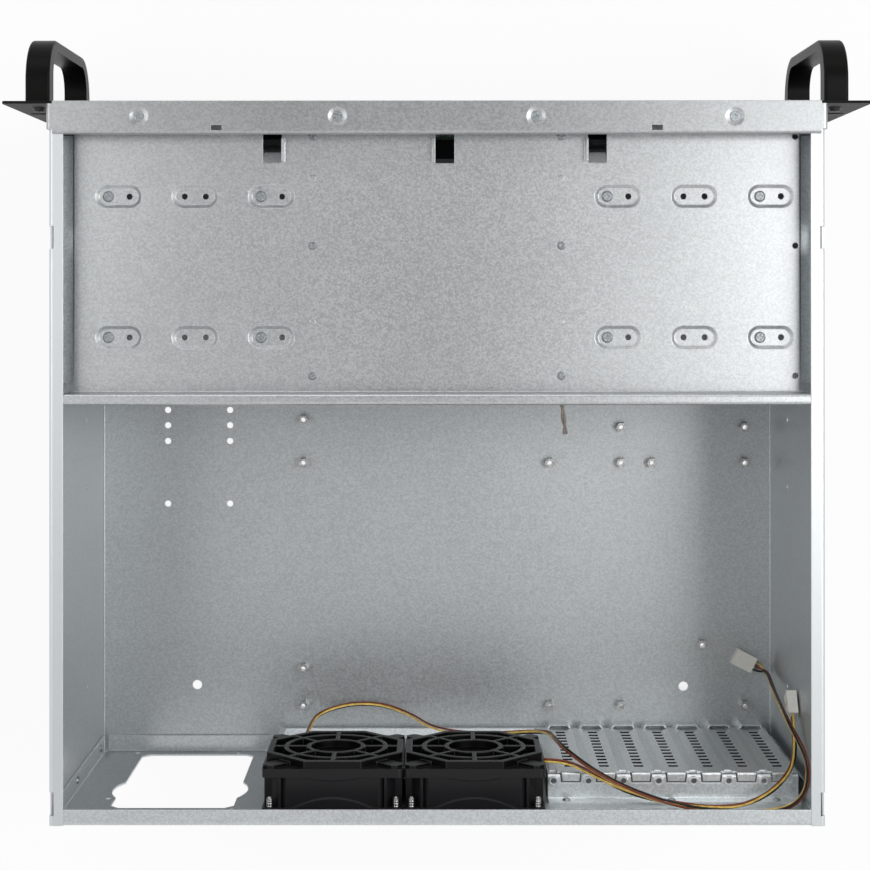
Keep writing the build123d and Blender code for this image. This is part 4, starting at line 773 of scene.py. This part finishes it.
# %% [markdown]
# ## The wire tie under the bar
#
# The end of a grey wire tie hangs from the rear lip of the plate's folded bar. It is two thin strands
# that wind round each other once on the way down. Both are tubes like the wires of the leads, on lines
# of their own: centre + 0.8 mm * (cos t * first + sin t * second), the second half a turn behind.

# %% Wire tie
TIE_GRAY = insulation("tie_gray", (0.3, 0.27, 0.24))
TIE_TOP = np.array(place(-69.6, 166.4, 166.0))
TIE_LOW = np.array(place(-72.6, 184.6, 150.0))
TIE_RISE = 2.2 * MM
TIE_APART = 0.8 * MM
TIE_RADIUS = 0.75 * MM
share = np.linspace(0.0, 1.0, 40)[:, None]
tie_line = TIE_TOP + share * (TIE_LOW - TIE_TOP) + TIE_RISE * UP * np.sin(math.pi * share)
_, first, second = directions(tie_line)
tie_points, tie_faces = [], []
for phase in (0.0, math.pi):
    turn = phase + 2 * math.pi * share
    strand = tie_line + TIE_APART * (np.cos(turn) * first + np.sin(turn) * second)
    ring_points, quads = tube(strand, TIE_RADIUS, WIRE_SIDES)
    tie_faces += [[corner + len(ring_points) * len(tie_points) for corner in quad] for quad in quads]
    tie_points.append(ring_points)
tie = add_piece("wire_tie", np.concatenate(tie_points), tie_faces, [TIE_GRAY])
tie.data.shade_smooth()
print("wire tie of", len(tie.data.polygons), "faces")

# %% [markdown]
# ## Floor and light
#
# The case stands on a white sweep. A floor that is only painted white would come out grey, so most of
# what the camera and the reflections see of it shines white, and the rest keeps the soft shadow. Close
# behind the slot wall a painted shadow darkens the floor, so that the holes in that wall look dark too.
# Two broad lamps stand left and right of the camera, as the sheen on both ends of the sheets shows, and
# a weaker one stands in front. The ceiling is darker than the walls, most of all towards the front of
# the case.


# %% Floor
SHINE_SHARE = 0.9
WHITE_PAINT = (0.9, 0.9, 0.9)
# Painted shadow on the floor close behind the slot wall: its colour and its extent
PAINTED_SHADOW_COLOR = (0.1, 0.1, 0.1)
PAINTED_SHADOW_ACROSS = (-0.245, -0.222, -0.066, -0.045)
PAINTED_SHADOW_BEHIND = (0.35, 0.39, 0.418, 0.442)


def seen_directly(tree):
    """1 for what the camera, a reflection or a clear part shows, 0 for light that falls on things."""
    camera_rays = tree.node("LightPath", outlet="Is Camera Ray")
    glossy_rays = tree.node("LightPath", outlet="Is Glossy Ray")
    clear_rays = tree.node("LightPath", outlet="Is Transmission Ray")
    return camera_rays.largest(glossy_rays).largest(clear_rays)


def white_floor():
    """A floor that looks white, still takes a shadow, and has a painted shadow close behind the slot
    wall.
    """
    finish = Finish("sweep", Roughness=0.9)
    behind = [FRONT + distance for distance in PAINTED_SHADOW_BEHIND]
    # Painted shadow: a dark patch behind the slot wall, which also shines less
    painted_shadow = finish.axis("X").band(*PAINTED_SHADOW_ACROSS) * finish.axis("Y").band(*behind)
    share = seen_directly(finish) * (SHINE_SHARE - SHINE_SHARE * painted_shadow)
    white = finish.node("Emission", None, {"Color": (1.0, 1.0, 1.0, 1.0), "Strength": 1.0})
    finish.feed("Base Color", finish.mix(painted_shadow, WHITE_PAINT, PAINTED_SHADOW_COLOR))
    surface = Field(finish, finish.shader.outputs["BSDF"])
    both = finish.node("MixShader", None, {0: share, 1: surface, 2: white})
    output = finish.tree.nodes["Material Output"]
    finish.tree.links.new(both.socket, output.inputs["Surface"])
    return finish.material


FLOOR_HALF = 6.0
FLOOR_Z = -0.2 * MM
floor_mesh = bpy.data.meshes.new("floor")
signs = ((-1, -1), (1, -1), (1, 1), (-1, 1))
floor_corners = [(x * FLOOR_HALF, y * FLOOR_HALF, FLOOR_Z) for x, y in signs]
floor_mesh.from_pydata(floor_corners, [], [(0, 1, 2, 3)])
floor = bpy.data.objects.new("floor", floor_mesh)
floor_mesh.materials.append(white_floor())
bpy.context.scene.collection.objects.link(floor)
print("floor of", 2 * FLOOR_HALF, "m")


# %% Room light and lamps
ROOM_LIGHT = 0.75
CEILING = Vector((0.0, -0.3, 1.0)).normalized()
world = bpy.data.worlds.new("room")
bpy.context.scene.world = world
world.use_nodes = True
room = Tree(world.node_tree)
way = room.node("TexCoord", outlet="Generated")
overhead = room.node("VectorMath", {"operation": "DOT_PRODUCT"}, {0: way, 1: CEILING}, "Value")
dimming = {"Value": overhead, "From Min": 0.78, "From Max": 1.0, "To Min": 0.9, "To Max": 0.2}
level = ROOM_LIGHT + (1.0 - ROOM_LIGHT) * seen_directly(room)
strength = level * room.node("MapRange", None, dimming)
background = world.node_tree.nodes["Background"]
background.inputs["Color"].default_value = (1.0, 1.0, 1.0, 1.0)
world.node_tree.links.new(strength.socket, background.inputs["Strength"])


def lamp(name, where, towards, size, power):
    """A soft rectangular lamp that faces a point."""
    data = bpy.data.lights.new(name, "AREA")
    data.shape = "RECTANGLE"
    data.size, data.size_y = size
    data.energy = power
    lit = bpy.data.objects.new(name, data)
    lit.location = where
    lit.rotation_mode = "QUATERNION"
    lit.rotation_quaternion = (Vector(towards) - Vector(where)).to_track_quat("-Z", "Y")
    bpy.context.scene.collection.objects.link(lit)


lamp("right_lamp", (-0.95, -0.15, 1.5), towards=(-0.1, 0.0, 0.1), size=(0.7, 1.1), power=10.5)
lamp("left_lamp", (1.0, -0.25, 1.6), towards=(0.1, 0.0, 0.1), size=(0.8, 1.0), power=4.5)
lamp("front_lamp", (0.1, -1.5, 1.2), towards=(0.0, 0.1, 0.1), size=(1.4, 0.6), power=4.0)
print("lamps:", [light.name for light in bpy.data.lights])
